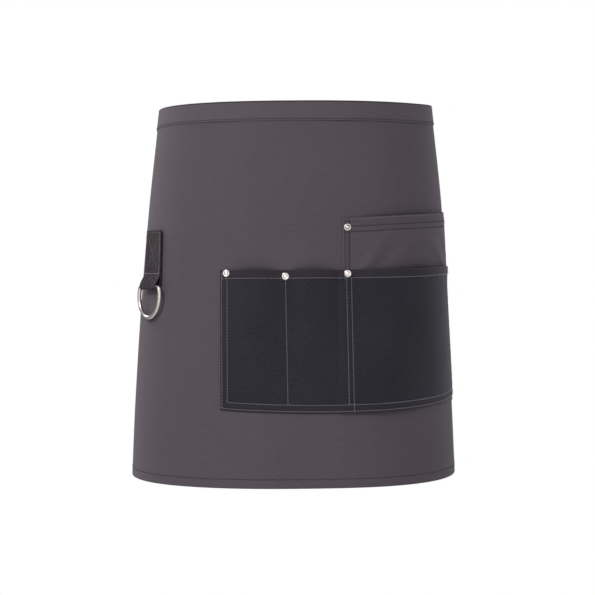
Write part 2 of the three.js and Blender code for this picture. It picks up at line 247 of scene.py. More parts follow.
def formSize(key, drop):
    # a smooth run through the sections' sizes
    values = np.array(wornForm[key], float)
    last = len(values) - 1
    at = np.arange(last + 1)
    low, high = np.maximum(at - 1, 0), np.minimum(at + 1, last)
    slopes = (values[high] - values[low]) / (formDrops[high] - formDrops[low])
    i = np.clip(np.searchsorted(formDrops, drop) - 1, 0, last - 1)
    span = formDrops[i + 1] - formDrops[i]
    k = (drop - formDrops[i]) / span
    blend = 3 * k**2 - 2 * k**3
    bend = span * ((k**3 - 2 * k**2 + k) * slopes[i] + (k**3 - k**2) * slopes[i + 1])
    return values[i] + (values[i + 1] - values[i]) * blend + bend


def sectionPoint(drop, angle):
    power = 2 / formSize("square", drop)
    s, c = np.sin(angle), np.cos(angle)
    halfWidth = np.where(s < 0, formSize("left", drop), formSize("right", drop))
    depth = np.where(c > 0, formSize("front", drop), formSize("back", drop))
    x = np.sign(s) * halfWidth * np.abs(s) ** power
    y = -np.sign(c) * depth * np.abs(c) ** power
    return x, y


def cutLengths(x, y):
    # running length along a line of points
    return np.concatenate([[0], np.cumsum(np.hypot(np.diff(x), np.diff(y)))])


# Angle round the form for each drop and each length from the front middle
tableDrops = np.arange(-30, 475, 3.0)
tableLengths = np.arange(-520, 521, 1.0)
fullTurn = np.linspace(-np.pi, np.pi, 2881)


def anglesOfSection(drop):
    lengths = cutLengths(*sectionPoint(drop, fullTurn))
    return np.interp(tableLengths, lengths - lengths[len(fullTurn) // 2], fullTurn)


angleTable = np.array([anglesOfSection(drop) for drop in tableDrops])


def facePoint(along, drop):
    row = (drop - tableDrops[0]) / (tableDrops[1] - tableDrops[0])
    column = along - tableLengths[0]
    i = np.clip(np.floor(row).astype(int), 0, len(tableDrops) - 2)
    j = np.clip(np.floor(column).astype(int), 0, len(tableLengths) - 2)
    f, g = row - i, column - j
    upper = angleTable[i, j] * (1 - g) + angleTable[i, j + 1] * g
    lower = angleTable[i + 1, j] * (1 - g) + angleTable[i + 1, j + 1] * g
    x, y = sectionPoint(drop, upper * (1 - f) + lower * f)
    return np.stack([x, y, bandTop - drop], -1)


# Rows of folds, in mm: across and down where one is strongest, lean, width, length, rise
softFolds = [  # shared by the whole apron
    (-338, 460, -0.04, 20, 190, 4.5),
    (340, 460, 0.04, 20, 200, 4.0),
    (-118, 470, 0.1, 42, 150, -0.9),
    (-40, 470, 0.05, 46, 120, 0.8),
    (40, 440, -0.1, 32, 60, -0.8),
    (120, 440, 0.12, 38, 70, 0.7),
    (-60, 95, 0.5, 60, 70, 0.7),
    (70, 70, -0.4, 50, 50, -0.6),
]
slips = [  # where the waist rides up or sags along the form
    (228, 5, 0, 53, 70, 3.1),
    (-232, 27, 0, 26, 13, -2.2),
]


def hump(away, reach):
    return np.exp(-((away / reach) ** 2))


def foldSum(rows, across, down):
    total = np.zeros(np.broadcast(across, down).shape)
    for foldAcross, foldDown, lean, width, length, rise in rows:
        middle = foldAcross + lean * (down - foldDown)
        total = total + rise * hump(across - middle, width) * hump(down - foldDown, length)
    return total


def unit(vectors):
    return vectors / np.linalg.norm(vectors, axis=-1, keepdims=True)


def wrap(across, down, out):
    # lays the flat pattern on the worn form: mm in, metres out
    across, down, out = np.broadcast_arrays(across, down, out)
    along = across + askew * down
    drop = down - askew * across - foldSum(slips, across, down)
    here = facePoint(along, drop)
    side = facePoint(along + 1, drop) - facePoint(along - 1, drop)
    below = facePoint(along, drop + 1) - facePoint(along, drop - 1)
    lifted = out + foldSum(softFolds, across, down)
    return (here + unit(np.cross(below, side)) * lifted[..., None]) * mm


def smoothStep(x, low, high):
    k = np.clip((x - low) / (high - low), 0, 1)
    return k * k * (3 - 2 * k)


# What all cloth shares: pucker along seams, edges, and how fine the grids are near seams
tiny = 1e-6  # so that a whole count isn't rounded up
puckerWaves = [(9.3, 0.45), (13.7, 0.35), (22.1, 0.2)]  # length in mm and share
seamMake = {"depth": 0.3, "reach": 1.25, "marks": (0, 1.4, 3.2), "apart": 0.25}
foldTurns = np.linspace(0, np.pi, 7)[1:-1]  # stations round a turned edge


def ripple(along, seed):
    # uneven along a seam, about -1 to 1
    total = 0
    for i, (size, share) in enumerate(puckerWaves):
        total = total + share * np.sin(2 * np.pi * along / size + seed * (i + 1))
    return total


def pucker(along, away, rise, reach, seed):
    return rise * ripple(along, seed) * hump(away, reach)


def seamDip(away, depth=seamMake["depth"], reach=seamMake["reach"]):
    return -depth * hump(away, reach)


def edgeRoll(distance, radius, depth):
    # how far a turned edge rolls down, close to the fold
    k = np.clip(distance / radius, 0, 1)
    return depth * (1 - np.sqrt(1 - (1 - k) ** 2))


def foldLoop(edge, reach):
    # stations round a turned edge: place and share turned in
    return [(edge - reach * math.sin(t), (1 + math.cos(t)) / 2) for t in foldTurns]


def fromSides(cut, across):
    return np.minimum(across - cut["left"], cut["right"] - across)


def spread(marks, step):
    # even places between the marks, none further apart than the step
    places = [marks[0]]
    for low, high in zip(marks, marks[1:]):
        count = max(1, math.ceil((high - low) / step - tiny))
        places += [low + (high - low) * n / count for n in range(1, count + 1)]
    return np.array(places)


def marksNear(seams, low, high):
    # extra marks beside each seam, for a finer grid there
    marks = {low, high}
    for seam in seams:
        for off in seamMake["marks"]:
            marks.update({seam - off, seam + off})
    inside = sorted(m for m in marks if low <= m <= high)
    return {m for i, m in enumerate(inside) if i == 0 or m - inside[i - 1] > seamMake["apart"]}


def readPoints(mesh):
    points = np.empty(len(mesh.vertices) * 3)
    mesh.vertices.foreach_get("co", points)
    return points.reshape(-1, 3)


def setCut(mesh, u, v):
    # the flat cut, in metres, as the UV map that the weave follows
    corner = np.empty(len(mesh.loops), int)
    mesh.loops.foreach_get("vertex_index", corner)
    flat = np.stack([u, v], -1).astype(np.float32)
    mesh.uv_layers["cut"].data.foreach_set("uv", flat[corner].ravel())


def paintMask(piece, name, values):
    layer = piece.data.attributes.new(name, "FLOAT", "POINT")
    layer.data.foreach_set("value", np.asarray(values, np.float32))


def layCloth(name, columns, rows, thick, place):
    # a flat grid whose points are laid in place, then given its thickness
    deselectAll()
    bpy.ops.mesh.primitive_grid_add(x_subdivisions=columns - 1, y_subdivisions=rows - 1, size=2)
    piece = named(bpy.context.object, name)
    mesh = piece.data
    flat = readPoints(mesh)
    i = np.rint((flat[:, 0] + 1) / 2 * (columns - 1)).astype(int)
    j = np.rint((1 - flat[:, 1]) / 2 * (rows - 1)).astype(int)
    points, u, v, *mask = place(i, j)
    mesh.vertices.foreach_set("co", points.astype(np.float32).ravel())
    mesh.uv_layers[0].name = "cut"
    setCut(mesh, u * mm, v * mm)
    mesh.update()
    # the mask paints seam tone, painted shade and painted highlights into the cloth's colour
    if mask:
        paintMask(piece, "seamToneAndPaintedLight", mask[0])
    addModifier(piece, "SOLIDIFY", thickness=thick * mm, offset=0)
    smoothOver(piece, sharpAngle["cloth"])
    return piece


# Shared effects, as node groups: each reads a place and puts out values that change over the surface
twillMake = {"repeat": 3.0, "over": 0.5, "weft": 0.55}  # two over one, the weft lower than the warp
toneLayers = [("Streak", (70, 560, 1), 2), ("Blotch", (11, 9, 1), 2), ("Fibre", (460, 560, 1), 3)]
scuffMake = {"scale": 700, "detail": 4, "dirt": (0.55, 0.8)}


def newGroup(name, values, outputs):
    group = bpy.data.node_groups.new(name, "ShaderNodeTree")
    group.interface.new_socket("Vector", in_out="INPUT", socket_type="NodeSocketVector")
    for label, value in values.items():
        socket = group.interface.new_socket(label, in_out="INPUT", socket_type="NodeSocketFloat")
        socket.default_value = value
    for label in outputs:
        group.interface.new_socket(label, in_out="OUTPUT", socket_type="NodeSocketFloat")
    start = group.nodes.new("NodeGroupInput")
    start.location.x = nodeRow["start"]
    end = group.nodes.new("NodeGroupOutput")
    end.location.x = nodeRow["end"]
    return group, start.outputs, end


def makeTwillGroup():
    # thread ridges with a diagonal step
    group, start, end = newGroup("twillWeave", {"Threads": 2200.0}, ["Height", "Raised"])
    size = {0: start["Vector"], "Scale": start["Threads"]}
    scaled = node(group, "VectorMath", size, operation="SCALE")
    parts = node(group, "SeparateXYZ", {0: scaled.outputs["Vector"]})
    cells, ridges = [], []
    for axis in ("X", "Y"):
        place = parts.outputs[axis]
        cells.append(mathNode(group, "FLOOR", place))
        turn = mathNode(group, "MULTIPLY", place, math.pi)
        wave = mathNode(group, "SINE", turn)
        ridges.append(mathNode(group, "ABSOLUTE", wave))
    step = mathNode(group, "ADD", *cells)
    third = mathNode(group, "DIVIDE", step, twillMake["repeat"])
    phase = mathNode(group, "FRACT", third)
    raised = mathNode(group, "LESS_THAN", phase, twillMake["over"])
    low = mathNode(group, "MULTIPLY", ridges[1], twillMake["weft"])
    gain = mathNode(group, "SUBTRACT", ridges[0], low)
    height = mathNode(group, "MULTIPLY_ADD", gain, raised, low)
    feedInputs(group, end, {"Height": height, "Raised": raised})
    return group


def makeToneGroup():
    # uneven dye: thread streaks along the cut's width, soft blotches and fine fibre
    group, start, end = newGroup("clothTone", {row[0]: 0.3 for row in toneLayers}, ["Tone", "Fuzz"])
    total = middle = 0.5
    for label, scale, detail in toneLayers:
        mapping = node(group, "Mapping", {"Vector": start["Vector"], "Scale": scale})
        flecks = {"Vector": mapping.outputs["Vector"], "Scale": 1, "Detail": detail}
        fuzz = node(group, "TexNoise", flecks).outputs[0]
        level = mathNode(group, "SUBTRACT", fuzz, middle)
        total = mathNode(group, "MULTIPLY_ADD", level, start[label], total)
    feedInputs(group, end, {"Tone": total, "Fuzz": fuzz})
    return group


def makeScuffGroup():
    # faint handling marks on metal
    group, start, end = newGroup("metalScuff", {"Amount": 0.1, "Base": 0.2}, ["Roughness", "Dirt"])
    size = {"Vector": start["Vector"], "Scale": scuffMake["scale"], "Detail": scuffMake["detail"]}
    marks = node(group, "TexNoise", size).outputs[0]
    rough = mathNode(group, "MULTIPLY_ADD", marks, start["Amount"], start["Base"])
    feedInputs(group, end, {"Roughness": rough, "Dirt": marks})
    return group


twillGroup = makeTwillGroup()
toneGroup = makeToneGroup()
scuffGroup = makeScuffGroup()


def useGroup(tree, group, vector, **values):
    return node(tree, "Group", {"Vector": vector, **values}, node_tree=group).outputs


# Finishes: colours are linear
clothMake = {"raised": 0.16, "fuzz": 0.35, "sheenRoughness": 0.4}
# seam: the colour the painted mask mixes toward; on the grey twill a near-black, for painted shade in gaps,
# seam grooves and the band's top fold; on the black denim the hems' purple tone, with painted sheen along the
# mouth; on the strap its browner top
clothLooks = {
    "greyTwill": {
        "dark": (0.075, 0.0622, 0.0752, 1), "light": (0.127, 0.1075, 0.1282, 1),
        "seam": (0.016, 0.014, 0.016, 1), "threads": 2100, "streak": 0.5, "blotch": 0.35, "fibre": 0.75,
        "bump": 0.22, "depth": 0.00022,
        "gloss": 0.12, "roughness": 0.82, "sheen": 0.1, "sheenTint": (0.92, 0.86, 0.94, 1),
    },
    "blackDenim": {
        "dark": (0.017, 0.0165, 0.0225, 1), "light": (0.037, 0.035, 0.0455, 1),
        "seam": (0.041, 0.0335, 0.045, 1), "threads": 1500, "streak": 0.6, "blotch": 0.8, "fibre": 2.0,
        "bump": 0.3, "depth": 0.0003,
        "gloss": 0.12, "roughness": 0.78, "sheen": 0.23, "sheenTint": (0.86, 0.84, 1.0, 1),
    },
    "strapDenim": {
        "dark": (0.0195, 0.015, 0.02, 1), "light": (0.069, 0.0545, 0.069, 1),
        "seam": (0.05, 0.037, 0.033, 1), "threads": 1100, "streak": 0.7, "blotch": 2.2, "fibre": 4.0,
        "bump": 0.45, "depth": 0.0004,
        "gloss": 0.06, "roughness": 0.85, "sheen": 0.05, "sheenTint": (0.9, 0.86, 0.95, 1),
    },
}
# the waistband's twill is the panel's twill made a little lighter: painted light, for the light from above
# falling on the band
litBandTone = {"dark": (0.0815, 0.0678, 0.081, 1), "light": (0.1375, 0.1165, 0.1375, 1)}
clothLooks["litBandTwill"] = {**clothLooks["greyTwill"], **litBandTone}
threadMake = {"ply": 2600, "uneven": 1.5, "roughness": 0.6, "gloss": 0.4}
threadLooks = {  # dark and light of the twisted plies
    "lightThread": [(0.40, 0.38, 0.41, 1), (0.64, 0.61, 0.65, 1)],
    "dullThread": [(0.13, 0.12, 0.13, 1), (0.25, 0.235, 0.25, 1)],
    "darkThread": [(0.007, 0.006, 0.007, 1), (0.018, 0.015, 0.018, 1)],
}
nickelLooks = {  # clean and dull colour, roughness, and what scuffs add to it
    "rivetNickel": [(0.84, 0.795, 0.77, 1), (0.56, 0.5, 0.46, 1), 0.16, 0.1],
    # shadedRingNickel: the rivets' nickel made darker, painted shade for the darker surroundings that the
    # ring's round wire mirrors
    "shadedRingNickel": [(0.7, 0.63, 0.59, 1), (0.42, 0.35, 0.31, 1), 0.2, 0.12],
}
grooveDarkTone = (0.045, 0.036, 0.034, 1)


def makeCloth(name):
    look = clothLooks[name]
    finish, tree, surface = newFinish(name)
    cut = node(tree, "UVMap", uv_map="cut").outputs[0]
    weave = useGroup(tree, twillGroup, cut, Threads=look["threads"])
    uneven = {label: look[label.lower()] for label, scale, detail in toneLayers}
    tone = useGroup(tree, toneGroup, cut, **uneven)
    shade = mathNode(tree, "MULTIPLY_ADD", weave["Raised"], clothMake["raised"], tone["Tone"])
    dyed = mixColour(tree, shade, look["dark"], look["light"])
    # mixed toward the seam colour: seam tone and painted shade
    strip = node(tree, "Attribute", attribute_name="seamToneAndPaintedLight").outputs["Fac"]
    # below zero the mask lightens the cloth: a painted highlight along a turned edge
    toneWithPaintedLight = mixColour(tree, strip, dyed, look["seam"], clamp_factor=False)
    height = mathNode(tree, "MULTIPLY_ADD", tone["Fuzz"], clothMake["fuzz"], weave["Height"])
    relief = {"Strength": look["bump"], "Distance": look["depth"], "Height": height}
    feedInputs(tree, surface, {
        "Base Color": toneWithPaintedLight,
        "Normal": node(tree, "Bump", relief).outputs[0],
        "Roughness": look["roughness"],
        "Specular IOR Level": look["gloss"],
        "Sheen Weight": look["sheen"],
        "Sheen Roughness": clothMake["sheenRoughness"],
        "Sheen Tint": look["sheenTint"],
    })
    return finish


def makeThread(name):
    finish, tree, surface = newFinish(name)
    place = node(tree, "TexCoord").outputs["Object"]
    twist = {"Vector": place, "Scale": threadMake["ply"], "Distortion": threadMake["uneven"]}
    plies = node(tree, "TexWave", twist, wave_type="BANDS", bands_direction="DIAGONAL")
    feedInputs(tree, surface, {
        "Base Color": mixColour(tree, plies.outputs["Fac"], *threadLooks[name]),
        "Roughness": threadMake["roughness"],
        "Specular IOR Level": threadMake["gloss"],
    })
    return finish


def makeNickel(name):
    clean, dull, rough, scuffed = nickelLooks[name]
    finish, tree, surface = newFinish(name)
    place = node(tree, "TexCoord").outputs["Object"]
    scuff = useGroup(tree, scuffGroup, place, Amount=scuffed, Base=rough)
    low, high = scuffMake["dirt"]
    dirt = node(tree, "MapRange", {"Value": scuff["Dirt"], "From Min": low, "From Max": high})
    tint = mixColour(tree, dirt.outputs["Result"], clean, dull)
    # darker in the groove between the rim and the raised middle, by an amount given for each rivet
    inGroove = node(tree, "Attribute", attribute_name="grooveDark").outputs["Fac"]
    grooveDarkened = mixColour(tree, inGroove, tint, grooveDarkTone)
    feedInputs(tree, surface, {"Base Color": grooveDarkened, "Roughness": scuff["Roughness"], "Metallic": 1})
    return finish


finishes = {name: makeCloth(name) for name in clothLooks}
finishes.update({name: makeThread(name) for name in threadLooks})
finishes.update({name: makeNickel(name) for name in nickelLooks})
print("materials made:", len(finishes))


def settle(piece, finish, body="apron", cadNode=None):
    piece.data.materials.clear()
    piece.data.materials.append(finishes[finish])
    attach(piece, body)
    if cadNode:
        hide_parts(cadNode)


# Pockets: patches that stand off the panel between their seams
patchMake = {
    "gap": 0.45, "wall": 1.0, "layer": 0.95, "thick": 0.6,  # wall: room for one layer in the frame
    "rimMarks": (0, 0.12, 0.35, 0.7, 1.1), "mouthMarks": (0.4, 1.2, 1.8),
    "hemEdge": (0.3, 0.75), "hemMarks": (0.98, 0.75, 0.5, 0.25, 0.08), "roll": (1.1, 0.6), "easing": 1.5,
    # stripSoft: softening of the painted strips; lightAt, lightHalf: the painted highlight on turned edges;
    # lineHalf: painted shade lines on seams; foldFrom: where the turned hem's painting starts
    "stripSoft": (-1.2, 0.6), "lightAt": 0.9, "lightHalf": 0.8, "lineHalf": 0.3, "foldFrom": 0.15,
}
# Runs of stitches: across at the top and at the foot, then where they start below and stop above the edges.
# Shades, mixed toward the cloth's seam colour: strips along the rim and mouth, the hem inside, a painted
# highlight on turned edges (light), painted shade lines on runs and levels
mainCut = {
    "left": -88.5, "right": 247, "top": 196.7, "lift": 2.4, "lifted": (110, 225), "bottom": 359.1,
    "sag": 4, "sagMiddle": 45, "sagReach": 135, "gape": 5, "step": 3.4, "flat": (0.355, 0.187), "hem": 13,
    "mouths": [(-78, -19), (-6, 47), (71, 237)], "mouthSeams": [8.6], "footSeams": [1.7, 9.0],
    "runs": [
        (-86.8, -86.8, 1.5, 1.7), (-80.4, -80.4, 9.1, 9.0), (-13.0, -10.8, 9.1, 9.0), (56.6, 58.8, 9.1, 9.0),
        (62.2, 64.6, 9.1, 1.7), (238.6, 238.6, 9.1, 9.0), (245.2, 245.2, 1.5, 1.7),
    ],
    "runPucker": {"rise": 0.2, "reach": 5, "seeds": (0, 1.3)},
    "levelPucker": {"rise": 0.22, "reach": 5, "seeds": (0.9, 1)},
    "rimRise": 0.35, "rimReach": (6.5, 9.5),
    # on the black pocket the strips and the hem inside take the hems' purple tone; the mouth's strip is
    # stronger, partly a painted sheen
    "shade": {"wide": 8.2, "rim": 0.3, "mouth": 0.65, "fold": 0.5, "light": 0, "run": 0, "level": 0},
    "creases": [
        (-52, 268, 0.1, 20, 60, 0.9), (15, 285, -0.05, 13, 65, 1.3), (100, 300, 0.1, 24, 90, 1.5),
        (152, 318, 0.15, 24, 80, -1.4), (205, 270, 0.2, 24, 70, 0.4),
    ],
}
upperCut = {
    "left": 53.8, "right": 247, "top": 137.4, "rise": 0.048, "bottom": 356, "gape": 3.5, "step": 3.4,
    "flat": (0.21, 0.25), "hem": 19, "mouth": (68, 237), "mouthSeams": [9.3, 15.5], "footSeams": [],
    "runs": [(55.2, 55.2), (60.6, 60.6), (239.2, 239.2), (245.6, 245.6)], "runStart": 1.6, "runStop": 197,
    "runPucker": {"rise": 0.18, "reach": 5, "seeds": (0, 2.2)},
    "levelPucker": {"rise": 0.2, "reach": 4, "seeds": (1.7, 1)},
    "rimRise": 0.3, "rimReach": (5.5, 8.5), "behindMouth": 2.2, "finer": np.arange(50, 66, 1.4),
    # on the grey pocket: painted shade on the stitched strips, in the mouth's gap and in the seam grooves,
    # and a painted highlight on turned edges
    "shade": {
        "wide": 7.4, "rim": 0.07, "mouth": 0.05, "fold": 0.85, "light": 0.3, "run": 0.26, "level": 0.13,
    },
    "creases": [
        (88, 180, -0.75, 7, 22, 1.4), (104, 184, -0.8, 9, 20, -1.0), (196, 186, 1.3, 8, 20, 1.4),
        (212, 178, 1.2, 8, 24, -1.1), (150, 168, 0.2, 30, 30, 1.0),
    ],
}
climb = (47, 53.2)  # where the black pocket climbs on to the grey one
sideFit = {"across": (150, 205), "down": (190, 215), "drop": 0.6}  # layers lie closer round the side
mouthGive = {
    "wide": {"below": 3, "reach": 9, "depth": 0.6}, "narrow": {"below": 0.4, "reach": 2.2, "depth": 0.55},
    "uneven": 0.5, "stretch": 2.2, "seed": 0.4,
}


def mainTop(across):
    return mainCut["top"] - mainCut["lift"] * smoothStep(across, *mainCut["lifted"])


def mainBottom(across):
    return mainCut["bottom"] - mainCut["sag"] * ((across - mainCut["sagMiddle"]) / mainCut["sagReach"]) ** 2


def upperTop(across):
    return upperCut["top"] - upperCut["rise"] * (across - upperCut["left"])


def upperBottom(across):
    return upperCut["bottom"] + 0 * across


def mouthArch(mouth, across):
    return np.sin(np.pi * np.clip((across - mouth[0]) / (mouth[1] - mouth[0]), 0, 1))


def mouthSink(mouth, top, across, down):
    # how the cloth behind a free mouth gives way, strongest at the mouth's edge
    arch, below = mouthArch(mouth, across), down - top
    wide, narrow = mouthGive["wide"], mouthGive["narrow"]
    uneven = 1 + mouthGive["uneven"] * ripple(across / mouthGive["stretch"], mouthGive["seed"])
    near = narrow["depth"] * np.sqrt(arch) * hump(below - narrow["below"], narrow["reach"]) * uneven
    return wide["depth"] * arch * hump(below - wide["below"], wide["reach"]) + near


# Main panel: one cloth with its foot and both side edges turned in
panelCut = {
    "half": 375, "top": 1.6, "foot": 443.6, "layer": 0.75, "thick": 0.6, "middle": -0.5,
    "flat": (0.79, 0.463), "step": 3.2, "rowStep": 4.32,
    "mouthRows": [*np.arange(123, 141, 1.4), *np.arange(188, 201, 1.4)],
    "hem": 10, "hemMarks": (0.88, 0.6, 0.35, 0.12, 0.03), "hemEdge": [(0.97, 0.72), (1, 0.95)],
    "corner": (351, 364), "sideSeam": 366.5, "waistSeam": 23.5, "waist": 24, "hemSeam": 433.9,
    "hemPucker": {"rise": 0.28, "reach": 5.5, "seed": 0.7},
    "waistPucker": {"rise": 0.18, "reach": 6, "seed": 2.1},
    "groove": {"depth": 0.22, "reach": 1.3}, "behindMain": 2.2, "behindUpper": 1.8,
}


def turnedIn(edge, inward):
    # stations of a turned hem, from its free edge to the fold: place and share turned in
    hem = inward * panelCut["hem"]
    places = [(edge + hem * k, turned) for k, turned in panelCut["hemEdge"]]
    places += [(edge + hem * k, 1.0) for k in panelCut["hemMarks"]]
    return places + foldLoop(edge, inward * panelCut["layer"] / 2)


def panelPath(low, high, step, marks, bothHemmed):
    path = [(at, 0.0) for at in spread(sorted(marks), step)] + turnedIn(high, -1)[::-1]
    if bothHemmed:
        path = turnedIn(low, 1) + path
    at, turned = np.array(path).T
    return at, turned, cutLengths(at, turned * panelCut["layer"])


def panelOut(across, down):
    # relief of the panel's face: pucker along its seams, hollows behind the pocket mouths
    cut, away = panelCut, down - panelCut["hemSeam"]
    relief = pucker(across, away, **cut["hemPucker"])
    relief = relief + pucker(across, down - cut["waist"], **cut["waistPucker"])
    sink = cut["behindUpper"] * mouthSink(upperCut["mouth"], upperTop(across), across, down)
    for mouth in mainCut["mouths"][:2]:
        sink = sink + cut["behindMain"] * mouthSink(mouth, mainCut["top"], across, down)
    return relief + seamDip(away, **cut["groove"]) - sink


def makePanel():
    cut = panelCut
    half, top, foot = cut["half"], cut["top"], cut["foot"]
    sides = marksNear([-cut["sideSeam"], cut["sideSeam"]], -half, half)
    across, sideTurn, width = panelPath(-half, half, cut["step"], sides, True)
    levels = marksNear([cut["waistSeam"], cut["hemSeam"]], top, foot) | set(cut["mouthRows"])
    down, footTurn, length = panelPath(top, foot, cut["rowStep"], levels, False)

    def place(i, j):
        a, d, side, low = across[i], down[j], sideTurn[i], footTurn[j]
        corner = smoothStep(np.abs(a), *cut["corner"])
        layers = side * (1 - low) + low * (2 * side + (1 - side) * (1 + 2 * corner))
        out = cut["middle"] - cut["layer"] * layers + panelOut(a, d)
        return wrap(a, d, out), width[i], length[j]

    piece = layCloth("apronPanel", len(across), len(down), cut["thick"], place)
    settle(piece, "greyTwill", cadNode="apron_panel")


makePanel()
print("panel laid")

# Waistband: a strip folded over the panel's top edge
bandCut = {
    "end": 387, "height": 23.8, "outer": 0.42, "inner": -1.7, "atHems": -2.7, "hems": (350, 364), "step": 3.5,
    "thick": 0.55, "flat": (0.79, 0.06), "turn": 1.85, "turnRise": 0.9, "round": 2.6, "seam": 21.8,
    "pucker": {"rise": 0.2, "reach": 4, "seed": 4.4}, "groove": {"depth": 0.18, "reach": 1.1},
    "edgeRoll": (1.0, 0.4), "endRoll": (1.6, 0.9), "endMarks": (0, 0.3, 0.8, 1.6, 4),
    "insideMarks": (17, 12, 7, 3.4), "insideEdge": (0.3, 0.6, 1.3, 2.6),
    "outsideMarks": (2.8, 4.5, 7.5, 11, 14.5, 17.5), "outsideEdge": (3.7, 2.9, 2, 1.1, 0.4, 0.15, 0),
    # topShade: painted shade along the band's top fold, where it turns over; shadeEnds: where that painted
    # shade fades out
    "turnSteps": 9, "topShade": 0.8, "shadeFrom": 0.25, "shadeBelow": 0.1, "shadeEnds": (200, 280),
    "stitchLift": 0.28,
}
bandLifts = [  # places where the lower edge stands off
    (172, 25, 0, 26, 7, 1.0),
    (52, 25, 0, 16, 6, 0.6),
    (-96, 25, 0, 22, 6, 0.5),
]


def bandInner(across):
    cut = bandCut
    return cut["inner"] + (cut["atHems"] - cut["inner"]) * smoothStep(np.abs(across), *cut["hems"])


def bandOut(across, down):
    away = down - bandCut["seam"]
    sewn = pucker(across, away, **bandCut["pucker"]) + seamDip(away, **bandCut["groove"])
    return sewn + foldSum(bandLifts, across, down)


def makeBand():
    cut = bandCut
    height, turn = cut["height"], cut["turn"]
    across = spread(sorted(side * (cut["end"] - e) for e in cut["endMarks"] for side in (-1, 1)), cut["step"])
    # down the inside, over the top and down the outside: place and share turned over
    path = [(height - e, 0.0) for e in cut["insideEdge"]] + [(d, 0.0) for d in (*cut["insideMarks"], turn)]
    path += [(turn, k) for k in np.linspace(0, 1, cut["turnSteps"])[1:-1]]
    path += [(d, 1.0) for d in (turn, *cut["outsideMarks"])] + [(height - e, 1.0) for e in cut["outsideEdge"]]
    down, over = np.array(path).T
    length = cutLengths(down, over * cut["round"])

    def place(i, j):
        a, d, k = across[i], down[j], over[j]
        low, high = bandInner(a), cut["outer"]
        top = np.where((k > 0) & (k < 1), (high - low) / 2 * np.sin(k * np.pi) * cut["turnRise"], 0)
        out = (low + high) / 2 - (high - low) / 2 * np.cos(k * np.pi)
        roll = edgeRoll(height - d, *cut["edgeRoll"]) + edgeRoll(cut["end"] - np.abs(a), *cut["endRoll"])
        out = out - roll * np.sign(k - 0.5) + bandOut(a, d) * (k == 1)
        # painted shade along the top fold, mixed toward the twill's near-black seam colour
        topFoldShade = (k > cut["shadeFrom"]) & (d < turn + cut["shadeBelow"])
        mask = cut["topShade"] * topFoldShade * (1 - smoothStep(np.abs(a), *cut["shadeEnds"]))
        return wrap(a, d - top, out), a, length[j], mask

    piece = layCloth("waistBand", len(across), len(down), cut["thick"], place)
    settle(piece, "litBandTwill", cadNode="waistband")


makeBand()
print("waistband folded over")


# The pockets' faces: how far out they lie, and their relief
def easeOf(mouth, gape, across, depth):
    return gape * mouthArch(mouth, across) * (1 - np.clip(depth, 0, 1)) ** patchMake["easing"]


def closer(across, down):
    return sideFit["drop"] * smoothStep(across, *sideFit["across"]) * smoothStep(down, *sideFit["down"])


def upperInner(across, down):
    top = upperTop(across)
    depth = (down - top) / (upperCut["bottom"] - top)
    ease = easeOf(upperCut["mouth"], upperCut["gape"], across, depth)
    return patchMake["gap"] - closer(across, down) + ease


def mainInner(across, down):
    gap, wall = patchMake["gap"], patchMake["wall"]
    share = np.clip((across - climb[0]) / (climb[1] - climb[0]), 0, 1)
    under = np.where(share < 1, share * (wall + gap), upperInner(across, down) + wall)
    depth = (down - mainCut["top"]) / (mainCut["bottom"] - mainCut["top"])
    ease = sum(easeOf(mouth, mainCut["gape"], across, depth) for mouth in mainCut["mouths"])
    return gap - closer(across, down) + under + ease


def runAt(run, share):
    return run[0] + (run[1] - run[0]) * share


def seamRelief(aways, along, make):
    first, step = make["seeds"]
    total = 0
    for i, away in enumerate(aways):
        total = total + seamDip(away) + pucker(along, away, make["rise"], make["reach"], first + step * i)
    return total


def pocketRelief(cut, top, bottom, across, down):
    share = (down - top) / (bottom - top)
    runs = [across - runAt(run, share) for run in cut["runs"]]
    levels = [down - top - s for s in cut["mouthSeams"]] + [down - bottom + s for s in cut["footSeams"]]
    total = foldSum(cut["creases"], across, down)
    total = total + seamRelief(runs, down, cut["runPucker"]) + seamRelief(levels, across, cut["levelPucker"])
    rim = fromSides(cut, across)
    if cut["footSeams"]:
        rim = np.minimum(rim, bottom - down)
    total = total + cut["rimRise"] * (1 - smoothStep(rim, *cut["rimReach"]))
    return total - edgeRoll(rim, *patchMake["roll"])


def mainFace(across, down):
    relief = pocketRelief(mainCut, mainTop(across), mainBottom(across), across, down)
    return mainInner(across, down) + patchMake["wall"] / 2 + relief


def upperFace(across, down):
    relief = pocketRelief(upperCut, upperTop(across), upperBottom(across), across, down)
    sink = upperCut["behindMouth"] * mouthSink(mainCut["mouths"][2], mainTop(across), across, down)
    return upperInner(across, down) + patchMake["wall"] / 2 + relief - sink


